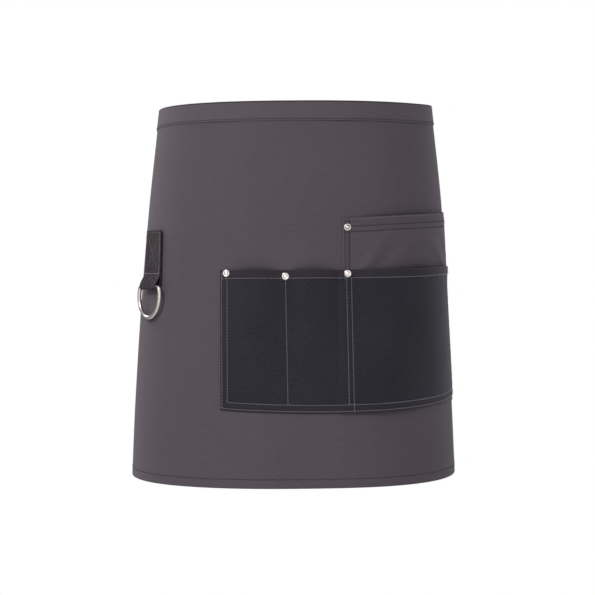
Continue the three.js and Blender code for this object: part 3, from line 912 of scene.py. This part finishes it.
def makePocket(name, cut, topOf, bottomOf, faceOf):
    make, shade, hem = patchMake, cut["shade"], cut["hem"]
    left, right, layer = cut["left"], cut["right"], patchMake["layer"]
    tall = float(bottomOf(0) - topOf(0))
    runs = sorted({at for run in cut["runs"] for at in run[:2]})
    levels = cut["mouthSeams"] + [tall - s for s in cut["footSeams"]]
    rims = {left + e for e in make["rimMarks"]} | {right - e for e in make["rimMarks"]}
    across = spread(sorted(marksNear([*runs, *cut.get("steps", ())], left, right) | rims), cut["step"])
    # down the cloth: the mouth's hem inside, over the edge, then the face, as place and share turned in
    inset, turn = make["hemEdge"]
    path = [(hem - inset, turn)] + [(hem * k, 1.0) for k in make["hemMarks"]]
    path += foldLoop(0, layer / 2)
    mouthRow = len(path)
    near = {tall - e for e in make["rimMarks"]} | {*make["mouthMarks"], *cut.get("finer", ())}
    path += [(d, 0.0) for d in spread(sorted(marksNear(levels, 0, tall) | near), cut["step"])]
    below, turned = np.array(path).T
    length = cutLengths(below, turned * layer)

    def place(i, j):
        a, b, k = across[i], below[j], turned[j]
        top, bottom = topOf(a), bottomOf(a)
        down = np.where(b < 0, top + b, top + b * (bottom - top) / tall)
        out = faceOf(a, np.maximum(down, top)) - layer * k
        rim, foot = fromSides(cut, a), length[-1] - length[j]
        mouth = length[j] - length[mouthRow]
        # painted into the colour: strips along the edges, the turned hem, highlighted turned edges and shaded
        # seam lines
        low, high = (shade["wide"] + soft for soft in make["stripSoft"])
        edges = ((shade["rim"], rim), (shade["rim"], foot), (shade["mouth"], np.abs(mouth)))
        mask = np.maximum.reduce([strength * (1 - smoothStep(away, low, high)) for strength, away in edges])
        highlightedEdge = (np.abs(mouth - make["lightAt"]) < make["lightHalf"]) | (rim < make["lightAt"])
        onRuns = sum(np.abs(a - run) < make["lineHalf"] for run in runs)
        onLevels = sum(np.abs(mouth - level) < make["lineHalf"] for level in levels)
        mask = mask - shade["light"] * highlightedEdge + shade["run"] * onRuns + shade["level"] * onLevels
        mask = np.where(k > make["foldFrom"], shade["fold"], mask)
        return wrap(a, down, out), a, length[j], mask

    return layCloth(name, len(across), len(below), make["thick"], place)


def makePockets():
    piece = makePocket("upperPocket", upperCut, upperTop, upperBottom, upperFace)
    settle(piece, "greyTwill", cadNode="upper_pocket")
    piece = makePocket("mainPocket", {**mainCut, "steps": climb}, mainTop, mainBottom, mainFace)
    settle(piece, "blackDenim", cadNode="main_pocket")


makePockets()
print("pockets laid")

# Ring tab: a strap that runs down the panel, round the ring's bar and back up
tabCut = {
    "left": -210.5, "right": -171, "top": 148.5, "sewnTo": 200, "straight": (196, 211), "barDown": 215.6,
    "barOut": 4.8, "lower": 0.8, "upper": 2.05, "fold": 3.2, "thick": 0.95, "stiff": 0.8,
    "flat": (0.0395, 0.158), "lowerTo": 196, "liftFrom": 198, "liftSteps": 8, "loopSteps": 13,
    "rimMarks": (0, 0.15, 0.45, 0.9, 2.4, 4), "step": 2.2, "lowerStep": 2.6, "roll": (0.9, 0.45),
    "sideSeam": 2.4, "topSeam": 2.6, "sewnDip": 0.8, "pucker": 0.12, "seed": 3.1, "loose": (200, 212),
    "worn": 0.7, "wornDown": (150, 178), "stitchLift": 0.47,  # worn: faded towards the top
}
tabMiddle = (tabCut["left"] + tabCut["right"]) / 2


def faceFrame(across, down):
    # place on the panel's face with its sideways, outward and downward directions
    origin = wrap(across, down, 0.0)
    outward = unit(wrap(across, down, 1.0) - origin)
    sideways = unit(wrap(across + 1, down, 0.0) - wrap(across - 1, down, 0.0))
    return origin, sideways, outward, unit(np.cross(sideways, outward))


tabFrame = faceFrame(tabMiddle, tabCut["barDown"])


def tabPlace(across, down, out):
    # sewn to the panel above, straight across round the bar
    origin, sideways, outward, downward = tabFrame
    across, down, out = np.broadcast_arrays(across, down, out)
    flat = origin + mm * (
        np.multiply.outer(across - tabMiddle, sideways)
        + np.multiply.outer(down - tabCut["barDown"], downward)
        + np.multiply.outer(out, outward)
    )
    k = smoothStep(down, *tabCut["straight"])[..., None]
    curved, middle = wrap(across, down, out), wrap(tabMiddle, down, out)
    step = wrap(tabMiddle + 0.5, down, out) - wrap(tabMiddle - 0.5, down, out)
    straight = middle + step * (across - tabMiddle)[..., None]
    sewn = curved + tabCut["stiff"] * (straight - curved)
    return sewn * (1 - k) + flat * k


def tabFront(down):
    # how far out the upper layer lies, rising towards the fold
    cut = tabCut
    top = cut["barOut"] + cut["fold"]
    return cut["upper"] + (top - cut["upper"]) * smoothStep(down, cut["liftFrom"], cut["barDown"])


def tabPath():
    cut = tabCut
    bar, reach, rise = cut["barDown"], cut["fold"], cut["liftFrom"]
    lower = [(d, cut["lower"]) for d in spread([cut["top"], cut["lowerTo"]], cut["lowerStep"])]
    for k in np.linspace(0, 1, cut["liftSteps"]):
        lift = smoothStep(k, 0, 1)
        lower.append((rise + k * (bar - rise), cut["lower"] + lift * (cut["barOut"] - reach - cut["lower"])))
    turns = np.linspace(0, np.pi, cut["loopSteps"])[1:-1]
    loop = [(bar + reach * math.sin(t), cut["barOut"] - reach * math.cos(t)) for t in turns]
    upper = [(d, float(tabFront(d))) for d in spread([cut["top"], rise, bar], cut["step"])[::-1]]
    return np.array(lower + loop + upper).T


tabDown, tabOut = tabPath()
tabHalf = int(np.argmax(tabDown))


def tabRelief(across, down):
    # dips along the box stitches of the upper layer
    cut = tabCut
    rim = fromSides(cut, across)
    dip = seamDip(rim - cut["sideSeam"]) + seamDip(down - cut["top"] - cut["topSeam"])
    dip = dip + seamDip(down - cut["sewnTo"])
    relief = cut["sewnDip"] * dip + cut["pucker"] * ripple(down, cut["seed"])
    return relief * (1 - smoothStep(down, *cut["loose"]))


def makeTab():
    cut = tabCut
    rims = [cut["left"] + e for e in cut["rimMarks"]] + [cut["right"] - e for e in cut["rimMarks"]]
    across = spread(sorted(rims), cut["step"])
    length = cutLengths(tabDown, tabOut)

    def place(i, j):
        a, d = across[i], tabDown[j]
        rim = fromSides(cut, a)
        out = tabOut[j] + (j > tabHalf) * (tabRelief(a, d) - edgeRoll(rim, *cut["roll"]))
        mask = cut["worn"] * (1 - smoothStep(d, *cut["wornDown"]))
        return tabPlace(a, d, out), a, length[j], mask

    piece = layCloth("ringTab", len(across), len(tabDown), cut["thick"], place)
    settle(piece, "strapDenim", cadNode="ring_tab")


makeTab()
print("ring tab folded")

# D-ring: bent wire, flat bar and round bow
ringMake = {
    "wire": 2.4, "halfBar": 23.2, "height": 36.5, "corner": 3.5, "flare": 1.05, "restGap": 0.6,
    "points": 132, "cornerPoints": 24, "bowPoints": 200, "roundness": 6, "merge": 1e-6,
}


def ringLine():
    make = ringMake
    half, tall, corner, flare = make["halfBar"], make["height"], make["corner"], make["flare"]
    bow = (tall**2 + half**2) / (2 * tall)
    middle = bow - tall
    start = math.atan2(-corner - middle, half + flare)
    bend = np.linspace(0, 1, make["cornerPoints"])[:, None]
    foot, pull = np.array([half - corner, 0]), np.array([half + flare / 2, 0])
    first = np.array([bow * math.cos(start), middle + bow * math.sin(start)])
    rightCorner = (1 - bend) ** 2 * foot + 2 * bend * (1 - bend) * pull + bend**2 * first
    turn = np.linspace(start, -math.pi - start, make["bowPoints"])[1:-1]
    bowLine = np.stack([bow * np.cos(turn), middle + bow * np.sin(turn)], -1)
    leftCorner = rightCorner[::-1] * [-1, 1]
    loop = np.concatenate([[-foot], rightCorner, bowLine, leftCorner])
    run = cutLengths(loop[:, 0], loop[:, 1])
    even = np.linspace(0, run[-1], make["points"] + 1)[:-1]
    return np.stack([np.interp(even, run, loop[:, 0]), np.interp(even, run, loop[:, 1])], -1)


def makeRing():
    make = ringMake
    origin, sideways, outward, downward = tabFrame
    lean = math.asin((tabCut["barOut"] - make["wire"] - make["restGap"]) / make["height"])
    up = np.array(Matrix.Rotation(lean, 3, Vector(sideways)) @ Vector(-downward))
    bar = origin + mm * tabCut["barOut"] * outward
    deselectAll()
    bpy.ops.mesh.primitive_circle_add(vertices=make["points"], radius=make["halfBar"] * mm)
    for vertex, (x, z) in zip(bpy.context.object.data.vertices, ringLine() * mm):
        vertex.co = bar + x * sideways + z * up
    bpy.ops.object.convert(target="CURVE")
    wire = bpy.context.object.data
    wire.bevel_depth = make["wire"] * mm
    wire.bevel_resolution = make["roundness"]
    bpy.ops.object.convert(target="MESH")
    ring = named(bpy.context.object, "dRing")
    faceOutward(ring, make["merge"])
    bpy.ops.object.shade_smooth()
    settle(ring, "shadedRingNickel", body="ring", cadNode="d_ring")


makeRing()
print("D-ring bent")

# Rivets: a turned cap with a groove and raised middle, and a washer behind
rivetMake = {
    "sides": 40, "seat": 0.15, "washerAt": -0.9, "bevel": 0.06, "bevelSteps": 2, "bevelAngle": 35,
    "cap": [(4.1, 0), (4.2, 0.3), (4.1, 0.75), (3.7, 1.12), (3.2, 1.2), (2.75, 1.0), (2.5, 0.55), (2.1, 0.45),
            (1.7, 0.8), (1.1, 1.0), (0.4, 1.05)],
    "washer": [(3.9, 0), (4.0, 0.35), (3.7, 0.75), (2.6, 0.85), (2.2, 0.6), (1.6, 0.6), (1.4, 0.95),
               (0.5, 1.0)],
    "grooveIn": (1.5, 1.9), "grooveOut": (2.6, 2.9),
}
rivetRows = [  # node, across, down, darkening in the groove
    ("rivet_left", -81.4, 199.3, 0.2),
    ("rivet_middle", -13.1, 203, 0.2),
    ("rivet_right", 58, 200.4, 0.15),
    ("rivet_upper", 58.5, 147.2, 1.0),
    ("rivet_side", 242, 199.1, 0.2),
    ("rivet_upper_side", 242, 138, 0.6),
]


def turnProfile(profile):
    # a disc drawn up step by step into the turned shape
    deselectAll()
    radius = profile[0][0] * mm
    bpy.ops.mesh.primitive_circle_add(vertices=rivetMake["sides"], radius=radius, fill_type="NGON")
    piece = bpy.context.object
    bpy.ops.object.mode_set(mode="EDIT")
    bpy.ops.mesh.select_all(action="SELECT")
    for (r0, h0), (r1, h1) in zip(profile, profile[1:]):
        bpy.ops.mesh.extrude_region_move(TRANSFORM_OT_translate={"value": (0, 0, (h1 - h0) * mm)})
        bpy.ops.transform.resize(value=(r1 / r0, r1 / r0, 1))
    faceOutward(piece)
    return piece


def grooveShare(part):
    # where a turned piece is sunk between its rim and its raised middle
    points = readPoints(part.data) / mm
    away = np.hypot(points[:, 0], points[:, 1])
    return smoothStep(away, *rivetMake["grooveIn"]) * (1 - smoothStep(away, *rivetMake["grooveOut"]))


def setRivetPart(part, across, down, lift, grooveDark):
    origin, sideways, outward, downward = faceFrame(across, down)
    copy = part.copy()
    copy.data = part.data.copy()
    bpy.context.collection.objects.link(copy)
    paintMask(copy, "grooveDark", grooveDark * grooveShare(copy))
    place = Matrix.Identity(4)
    for i, axis in enumerate((sideways, -downward, outward, origin + outward * lift * mm)):
        place.col[i][:3] = axis
    copy.data.transform(place)
    return copy


def makeRivets():
    make = rivetMake
    cap, washer = turnProfile(make["cap"]), turnProfile(make["washer"])
    washer.data.transform(Matrix.Rotation(math.pi, 4, "X"))
    for cadNode, across, down, grooveDark in rivetRows:
        face = upperFace if cadNode.startswith("rivet_upper") else mainFace
        lifts = (float(face(across, down)) + make["seat"], make["washerAt"])
        parts = [setRivetPart(part, across, down, lift, grooveDark) for part, lift in zip((cap, washer), lifts)]
        piece = joinPieces(parts, cadNode.title().replace("_", "").replace("R", "r", 1))
        addModifier(
            piece, "BEVEL", width=make["bevel"] * mm, segments=make["bevelSteps"],
            limit_method="ANGLE", angle_limit=math.radians(make["bevelAngle"]),
        )
        smoothOver(piece, sharpAngle["metal"])
        settle(piece, "rivetNickel", cadNode=cadNode)
    for part in (cap, washer):
        bpy.data.objects.remove(part)


makeRivets()
print("rivets set")

# Ties: strips from the waistband's ends to a knot at the back, and two hanging ends
tieCut = {
    "top": 1.6, "bottom": 22.4, "start": 368, "bandEnd": 388, "knotRoom": 5.5, "thick": 1.0,
    "flatWidth": 0.021, "step": 2.2, "rows": 23, "behind": -0.55, "underBand": 0.5, "crown": 0.25,
    "pleat": 0.8,
    "pinch": 6, "pinchLength": 40,  # half width at the knot, and how far the gathers run
    "pleats": {"reach": 1.35, "rise": 2.0, "fade": 1.3, "turns": 3.2, "phase": 0.6},
}
tailCut = {
    "length": 282.4, "step": 2.6, "rows": 21, "flat": (0.021, 0.283), "lean": 0.06, "pleat": 0.9, "tuck": 3,
    "layers": (0.9, -1.1),  # how far the left and the right end hang out from the waist's back
    "sway": {"rise": 3.2, "wave": 62, "phase": 1, "from": (20, 160)},
    "cup": {"rise": 1.4, "wave": 48, "phase": 1.3, "from": (30, 120)},
}
tieMiddle = (tieCut["top"] + tieCut["bottom"]) / 2
tieHalf = tieMiddle - tieCut["top"]
waistBack = float(formSize("back", tieMiddle))
knotHeight = bandTop - tieMiddle


def gathered(distance):
    k = np.clip(distance / tieCut["pinchLength"], 0, 1)
    low = tieCut["pinch"] / tieHalf
    return low + (1 - low) * k


def pleats(w, distance):
    # the cloth folds up on itself where it is gathered
    make = tieCut["pleats"]
    k = 1 - np.clip(distance / (make["reach"] * tieCut["pinchLength"]), 0, 1)
    return make["rise"] * k ** make["fade"] * np.sin(make["turns"] * np.pi * w + make["phase"])


def makeTie(name, side, cadNode):
    cut = tieCut
    lengths = cutLengths(*sectionPoint(tieMiddle, fullTurn))
    middle = lengths[len(fullTurn) // 2]
    end = (lengths[-1] - middle if side > 0 else middle) - cut["knotRoom"]
    along = spread([cut["start"], end - cut["pinchLength"], end], cut["step"])
    rows = np.linspace(-1, 1, cut["rows"])

    def place(i, j):
        i = i if side > 0 else len(along) - 1 - i
        run, w = along[i], rows[j]
        down = tieMiddle + w * tieHalf * gathered(end - run)
        out = cut["behind"] - cut["underBand"] * (run < cut["bandEnd"]) + cut["pleat"] * pleats(w, end - run)
        out = out + cut["crown"] * (1 - w**2)
        return wrap(side * run, down, out), run, w * tieHalf

    piece = layCloth(name, len(along), len(rows), cut["thick"], place)
    settle(piece, "greyTwill", cadNode=cadNode)


def wave(make, down, side):
    return make["rise"] * np.sin(down / make["wave"] + make["phase"] * side) * smoothStep(down, *make["from"])


def makeTail(name, side, layer, cadNode):
    cut = tailCut
    drops = spread([0, cut["length"]], cut["step"])
    rows = np.linspace(-1, 1, cut["rows"]) * tieHalf

    def place(i, j):
        across, down = -rows[i], drops[j]
        w = across / tieHalf
        aside = tieCut["pinch"] + cut["lean"] * down + wave(cut["sway"], down, side)
        x = side * aside + across * gathered(down)
        y = waistBack + layer + cut["pleat"] * pleats(w, down) + w**2 * wave(cut["cup"], down, side)
        z = knotHeight - knotMake["halfHeight"] + cut["tuck"] - down
        return np.stack([x, y, z], -1) * mm, rows[i], down

    piece = layCloth(name, len(rows), len(drops), tieCut["thick"], place)
    settle(piece, "greyTwill", cadNode=cadNode)


# Knot: strands that cross and wrap, each a soft flat tube, melted into one
knotMake = {
    "halfHeight": 11, "wide": 5.2, "thick": 2.7, "order": 4, "fineness": 10, "voxel": 0.7,
    "creaseSize": 6, "creaseDepth": 1.6, "smooth": 0.5, "smoothTimes": 3,
}
knotStrands = [
    [(-15, -1, 0), (-9, 1, 1.5), (-2, 4.5, 3.5), (5, 5.5, 3), (9.5, 3, -1), (7, -1.5, -5.5), (0, -3.5, -6),
     (-5, -1, -9), (-6.5, 1, -14)],
    [(15, -1, 0), (9, -2, 3), (3, -3, 6.5), (-4.5, 0, 7.5), (-7, 4.5, 4), (-3.5, 6.5, -2.5), (2.5, 5, -6.5),
     (5.5, 2, -10), (6.5, 0, -14)],
    [(-4.5, -2.5, 8), (-1, 3.5, 8.6), (1.6, 7.2, 3.5), (2.2, 7.4, -2.2), (0.6, 3.2, -7.6),
     (-1.4, -2.2, -8.2)],
    [(-9, -1, 3), (-5.5, 0.5, 3.5), (0, 0.5, 1.5), (5, 0.5, 0), (9, -1, 1)],
    [(-6, 0, -1), (-3, 0.5, -2.5), (0, 0.5, -2.5), (3, 0.5, -3), (6, 0, -3.5)],
]


def makeStrand(route, section):
    deselectAll()
    bpy.ops.curve.primitive_nurbs_path_add()
    strand = bpy.context.object.data
    spline = strand.splines[0]
    if len(route) > len(spline.points):
        spline.points.add(len(route) - len(spline.points))
    for point, (x, y, z) in zip(spline.points, route):
        point.co = (x * mm, (waistBack + y) * mm, (knotHeight + z) * mm, 1)
    spline.use_endpoint_u = True
    spline.order_u = knotMake["order"]
    strand.bevel_mode = "OBJECT"
    strand.bevel_object = section
    strand.use_fill_caps = True
    strand.resolution_u = knotMake["fineness"]
    bpy.ops.object.convert(target="MESH")
    return bpy.context.object


def makeKnot():
    make = knotMake
    deselectAll()
    bpy.ops.curve.primitive_bezier_circle_add(radius=mm)
    section = bpy.context.object
    section.scale = (make["wide"], make["thick"], 1)
    bpy.ops.object.transform_apply(location=False, rotation=False, scale=True)
    knot = joinPieces([makeStrand(route, section) for route in knotStrands], "tieKnot")
    bpy.data.objects.remove(section)
    faceOutward(knot)
    addModifier(knot, "REMESH", mode="VOXEL", voxel_size=make["voxel"] * mm)
    creases = bpy.data.textures.new("knotCreases", "CLOUDS")
    creases.noise_scale = make["creaseSize"] * mm
    depth = make["creaseDepth"] * mm
    addModifier(knot, "DISPLACE", texture=creases, texture_coords="LOCAL", strength=depth)
    addModifier(knot, "SMOOTH", factor=make["smooth"], iterations=make["smoothTimes"])
    while knot.data.uv_layers:
        knot.data.uv_layers.remove(knot.data.uv_layers[0])
    knot.data.uv_layers.new(name="cut")
    x, y, z = readPoints(knot.data).T
    setCut(knot.data, x + y, z + y / 2)
    smoothOver(knot, sharpAngle["knot"])
    settle(knot, "greyTwill", cadNode="tie_knot")


makeTie("tieLeft", -1, "tie_left")
makeTie("tieRight", 1, "tie_right")
makeTail("tieEndLeft", -1, tailCut["layers"][0], "tie_end_left")
makeTail("tieEndRight", 1, tailCut["layers"][1], "tie_end_right")
makeKnot()
print("ties knotted")

# Stitches: short humps of thread along each seam, on the face and on the back of the cloth
stitchMakes = {  # pitch in mm, share of it that shows, thread radius in mm
    "panel": {"pitch": 3.0, "length": 0.7, "radius": 0.4},
    "upper": {"pitch": 3.4, "length": 0.58, "radius": 0.56},
    "main": {"pitch": 3.5, "length": 0.36, "radius": 0.37},
    "tab": {"pitch": 3.1, "length": 0.42, "radius": 0.33},
}
stitchSides = 6
stitchRings = [(-1, -0.22, 0.5), (-0.62, 0.06, 0.95), (0, 0.2, 1.0), (0.62, 0.06, 0.95), (1, -0.22, 0.5)]
seamStep = 6  # between the points of a run
seamEnds = {  # how far runs reach along the cloth, and how far they stop short of the pockets' edges
    "hem": 372, "side": (24, 441), "waist": 385.5, "mainLeft": 1.2, "inset": 1.4,
}


def alongSeam(points, make):
    # starts and ends of the stitches along a run of flat points
    x, y = np.asarray(points, float).T
    run = cutLengths(x, y)
    count = max(1, int(run[-1] // make["pitch"]))
    middles = (np.arange(count) + 0.5) * run[-1] / count
    half = make["pitch"] * make["length"] / 2
    ends = (middles - half, middles + half)
    return [np.stack([np.interp(at, run, x), np.interp(at, run, y)]) for at in ends]


def sewSeam(make, points, place, outward):
    # one seam's stitches as rings of vertices, standing out to the face or to the back
    first, last = alongSeam(points, make)
    middle = (first + last) / 2
    a, b = place(*first, 0.0), place(*last, 0.0)
    up = unit(place(*middle, outward) - place(*middle, 0.0))
    run, centre = (b - a) / 2, (a + b) / 2
    side = unit(np.cross(run, up))
    angles = 2 * np.pi * np.arange(stitchSides) / stitchSides
    verts = []
    for share, rise, girth in stitchRings:
        radius = make["radius"] * girth * mm
        ring = centre + run * share + up * rise * mm
        verts += [ring + radius * (math.cos(angle) * side + math.sin(angle) * up) for angle in angles]
    return np.stack(verts, 1)


def stitchFaces():
    sides, rings = stitchSides, len(stitchRings)
    faces = []
    for low in range(0, (rings - 1) * sides, sides):
        for s in range(sides):
            t = (s + 1) % sides
            faces.append((low + s, low + t, low + sides + t, low + sides + s))
    faces.append(tuple(range(sides))[::-1])
    faces.append(tuple((rings - 1) * sides + s for s in range(sides)))
    return faces


def makeStitches(name, make, seams, finish):
    verts = np.concatenate([sewSeam(stitchMakes[make], *seam) for seam in seams])
    each, one = verts.shape[1], stitchFaces()
    faces = [tuple(n * each + k for k in face) for n in range(len(verts)) for face in one]
    mesh = bpy.data.meshes.new(name)
    mesh.from_pydata(verts.reshape(-1, 3).tolist(), [], faces)
    piece = bpy.data.objects.new(name, mesh)
    bpy.context.collection.objects.link(piece)
    faceOutward(piece)
    bpy.ops.object.shade_smooth()
    settle(piece, finish)
    print("  ", name, len(verts), "stitches")


def onFace(face, above):
    return lambda across, down, out: wrap(across, down, face(across, down) + above + out)


def bandSurface(across, down):
    return bandCut["outer"] + bandOut(across, down)


def panelSurface(across, down):
    return panelCut["middle"] + panelOut(across, down)


def bandBack(across, down):
    return bandInner(across)


def tabSurface(across, down, out):
    return tabPlace(across, down, tabFront(down) + tabRelief(across, down) + tabCut["stitchLift"] + out)


def level(low, high, downOf):
    across = spread([low, high], seamStep)
    return np.stack([across, downOf(across)], -1)


def upright(run, top, bottom):
    share = np.linspace(0, 1, max(2, int((bottom - top) / seamStep)))
    return np.stack([runAt(run, share), top + (bottom - top) * share], -1)


halfThick = panelCut["thick"] / 2
onPanel = onFace(panelSurface, halfThick)
onPanelBack = onFace(panelSurface, -halfThick)
onHemBack = onFace(panelSurface, -halfThick - panelCut["layer"])
onBand = onFace(bandSurface, bandCut["stitchLift"])
onBandBack = onFace(bandBack, -bandCut["stitchLift"])
onMain = onFace(mainFace, patchMake["thick"] / 2)
onUpper = onFace(upperFace, patchMake["thick"] / 2)


def sewn(runs, front, back=None):
    seams = [(run, front, 1.0) for run in runs]
    return seams + ([(run, back, -1.0) for run in runs] if back else [])


def panelSeams():
    side, hem, waist = panelCut["sideSeam"], seamEnds["hem"], seamEnds["waist"]
    runs = [level(-hem, hem, lambda a: panelCut["hemSeam"] + 0 * a)]
    runs += [upright((at, at), *seamEnds["side"]) for at in (-side, side)]
    waist = level(-waist, waist, lambda a: bandCut["seam"] + 0 * a)
    return sewn(runs, onPanel, onHemBack) + sewn([waist], onBand, onBandBack)


def mainSeams():
    cut = mainCut
    left, right = cut["left"] + seamEnds["mainLeft"], cut["right"] - seamEnds["inset"]
    runs = cut["runs"]
    through = [upright(r, float(mainTop(r[0])) + r[2], float(mainBottom(r[1])) - r[3]) for r in runs]
    ends = [(left, right), (runs[1][1], runs[-2][1])]
    for (low, high), above in zip(ends, cut["footSeams"]):
        through.append(level(low, high, lambda a, s=above: mainBottom(a) - s))
    mouth = level(left, right, lambda a: mainTop(a) + cut["mouthSeams"][0])
    return sewn([mouth], onMain) + sewn(through, onMain, onPanelBack)


def upperSeams():
    cut = upperCut
    left, right = cut["left"] + seamEnds["inset"], cut["right"] - seamEnds["inset"]
    inner = cut["runs"][1][0]
    through = [upright(r, float(upperTop(r[0])) + cut["runStart"], cut["runStop"]) for r in cut["runs"]]
    low, high = cut["mouthSeams"]
    tops = []
    for start, stop, below in ((inner, right, low), (left, right, high), (left, inner, cut["runStart"])):
        tops.append(level(start, stop, lambda a, s=below: upperTop(a) + s))
    return sewn(through, onUpper, onPanelBack) + sewn(tops, onUpper)


def tabSeams():
    cut = tabCut
    left, right = cut["left"] + cut["sideSeam"], cut["right"] - cut["sideSeam"]
    top, bottom = cut["top"] + cut["topSeam"], cut["sewnTo"]
    cross = [[(left, top), (right, bottom)], [(right, top), (left, bottom)]]
    bright = [[(right, top), (right, bottom)], [(left, bottom), (right, bottom)]]
    dull = cross + [[(left, bottom), (left, top), (right, top)]]
    dull += [[(side, bottom), (side, cut["barDown"])] for side in (left, right)]
    box = [(left, bottom), (left, top), (right, top), (right, bottom), (left, bottom)]
    back = [(run, onPanelBack, -1.0) for run in (box, *cross)]
    return sewn(bright, tabSurface), sewn(dull, tabSurface) + back


tabBright, tabDull = tabSeams()
makeStitches("stitchesPanel", "panel", panelSeams(), "darkThread")
makeStitches("stitchesMainPocket", "main", mainSeams(), "lightThread")
makeStitches("stitchesUpperPocket", "upper", upperSeams(), "darkThread")
makeStitches("stitchesTab", "tab", tabBright, "lightThread")
makeStitches("stitchesTabCross", "tab", tabDull, "dullThread")
print("stitches sewn")
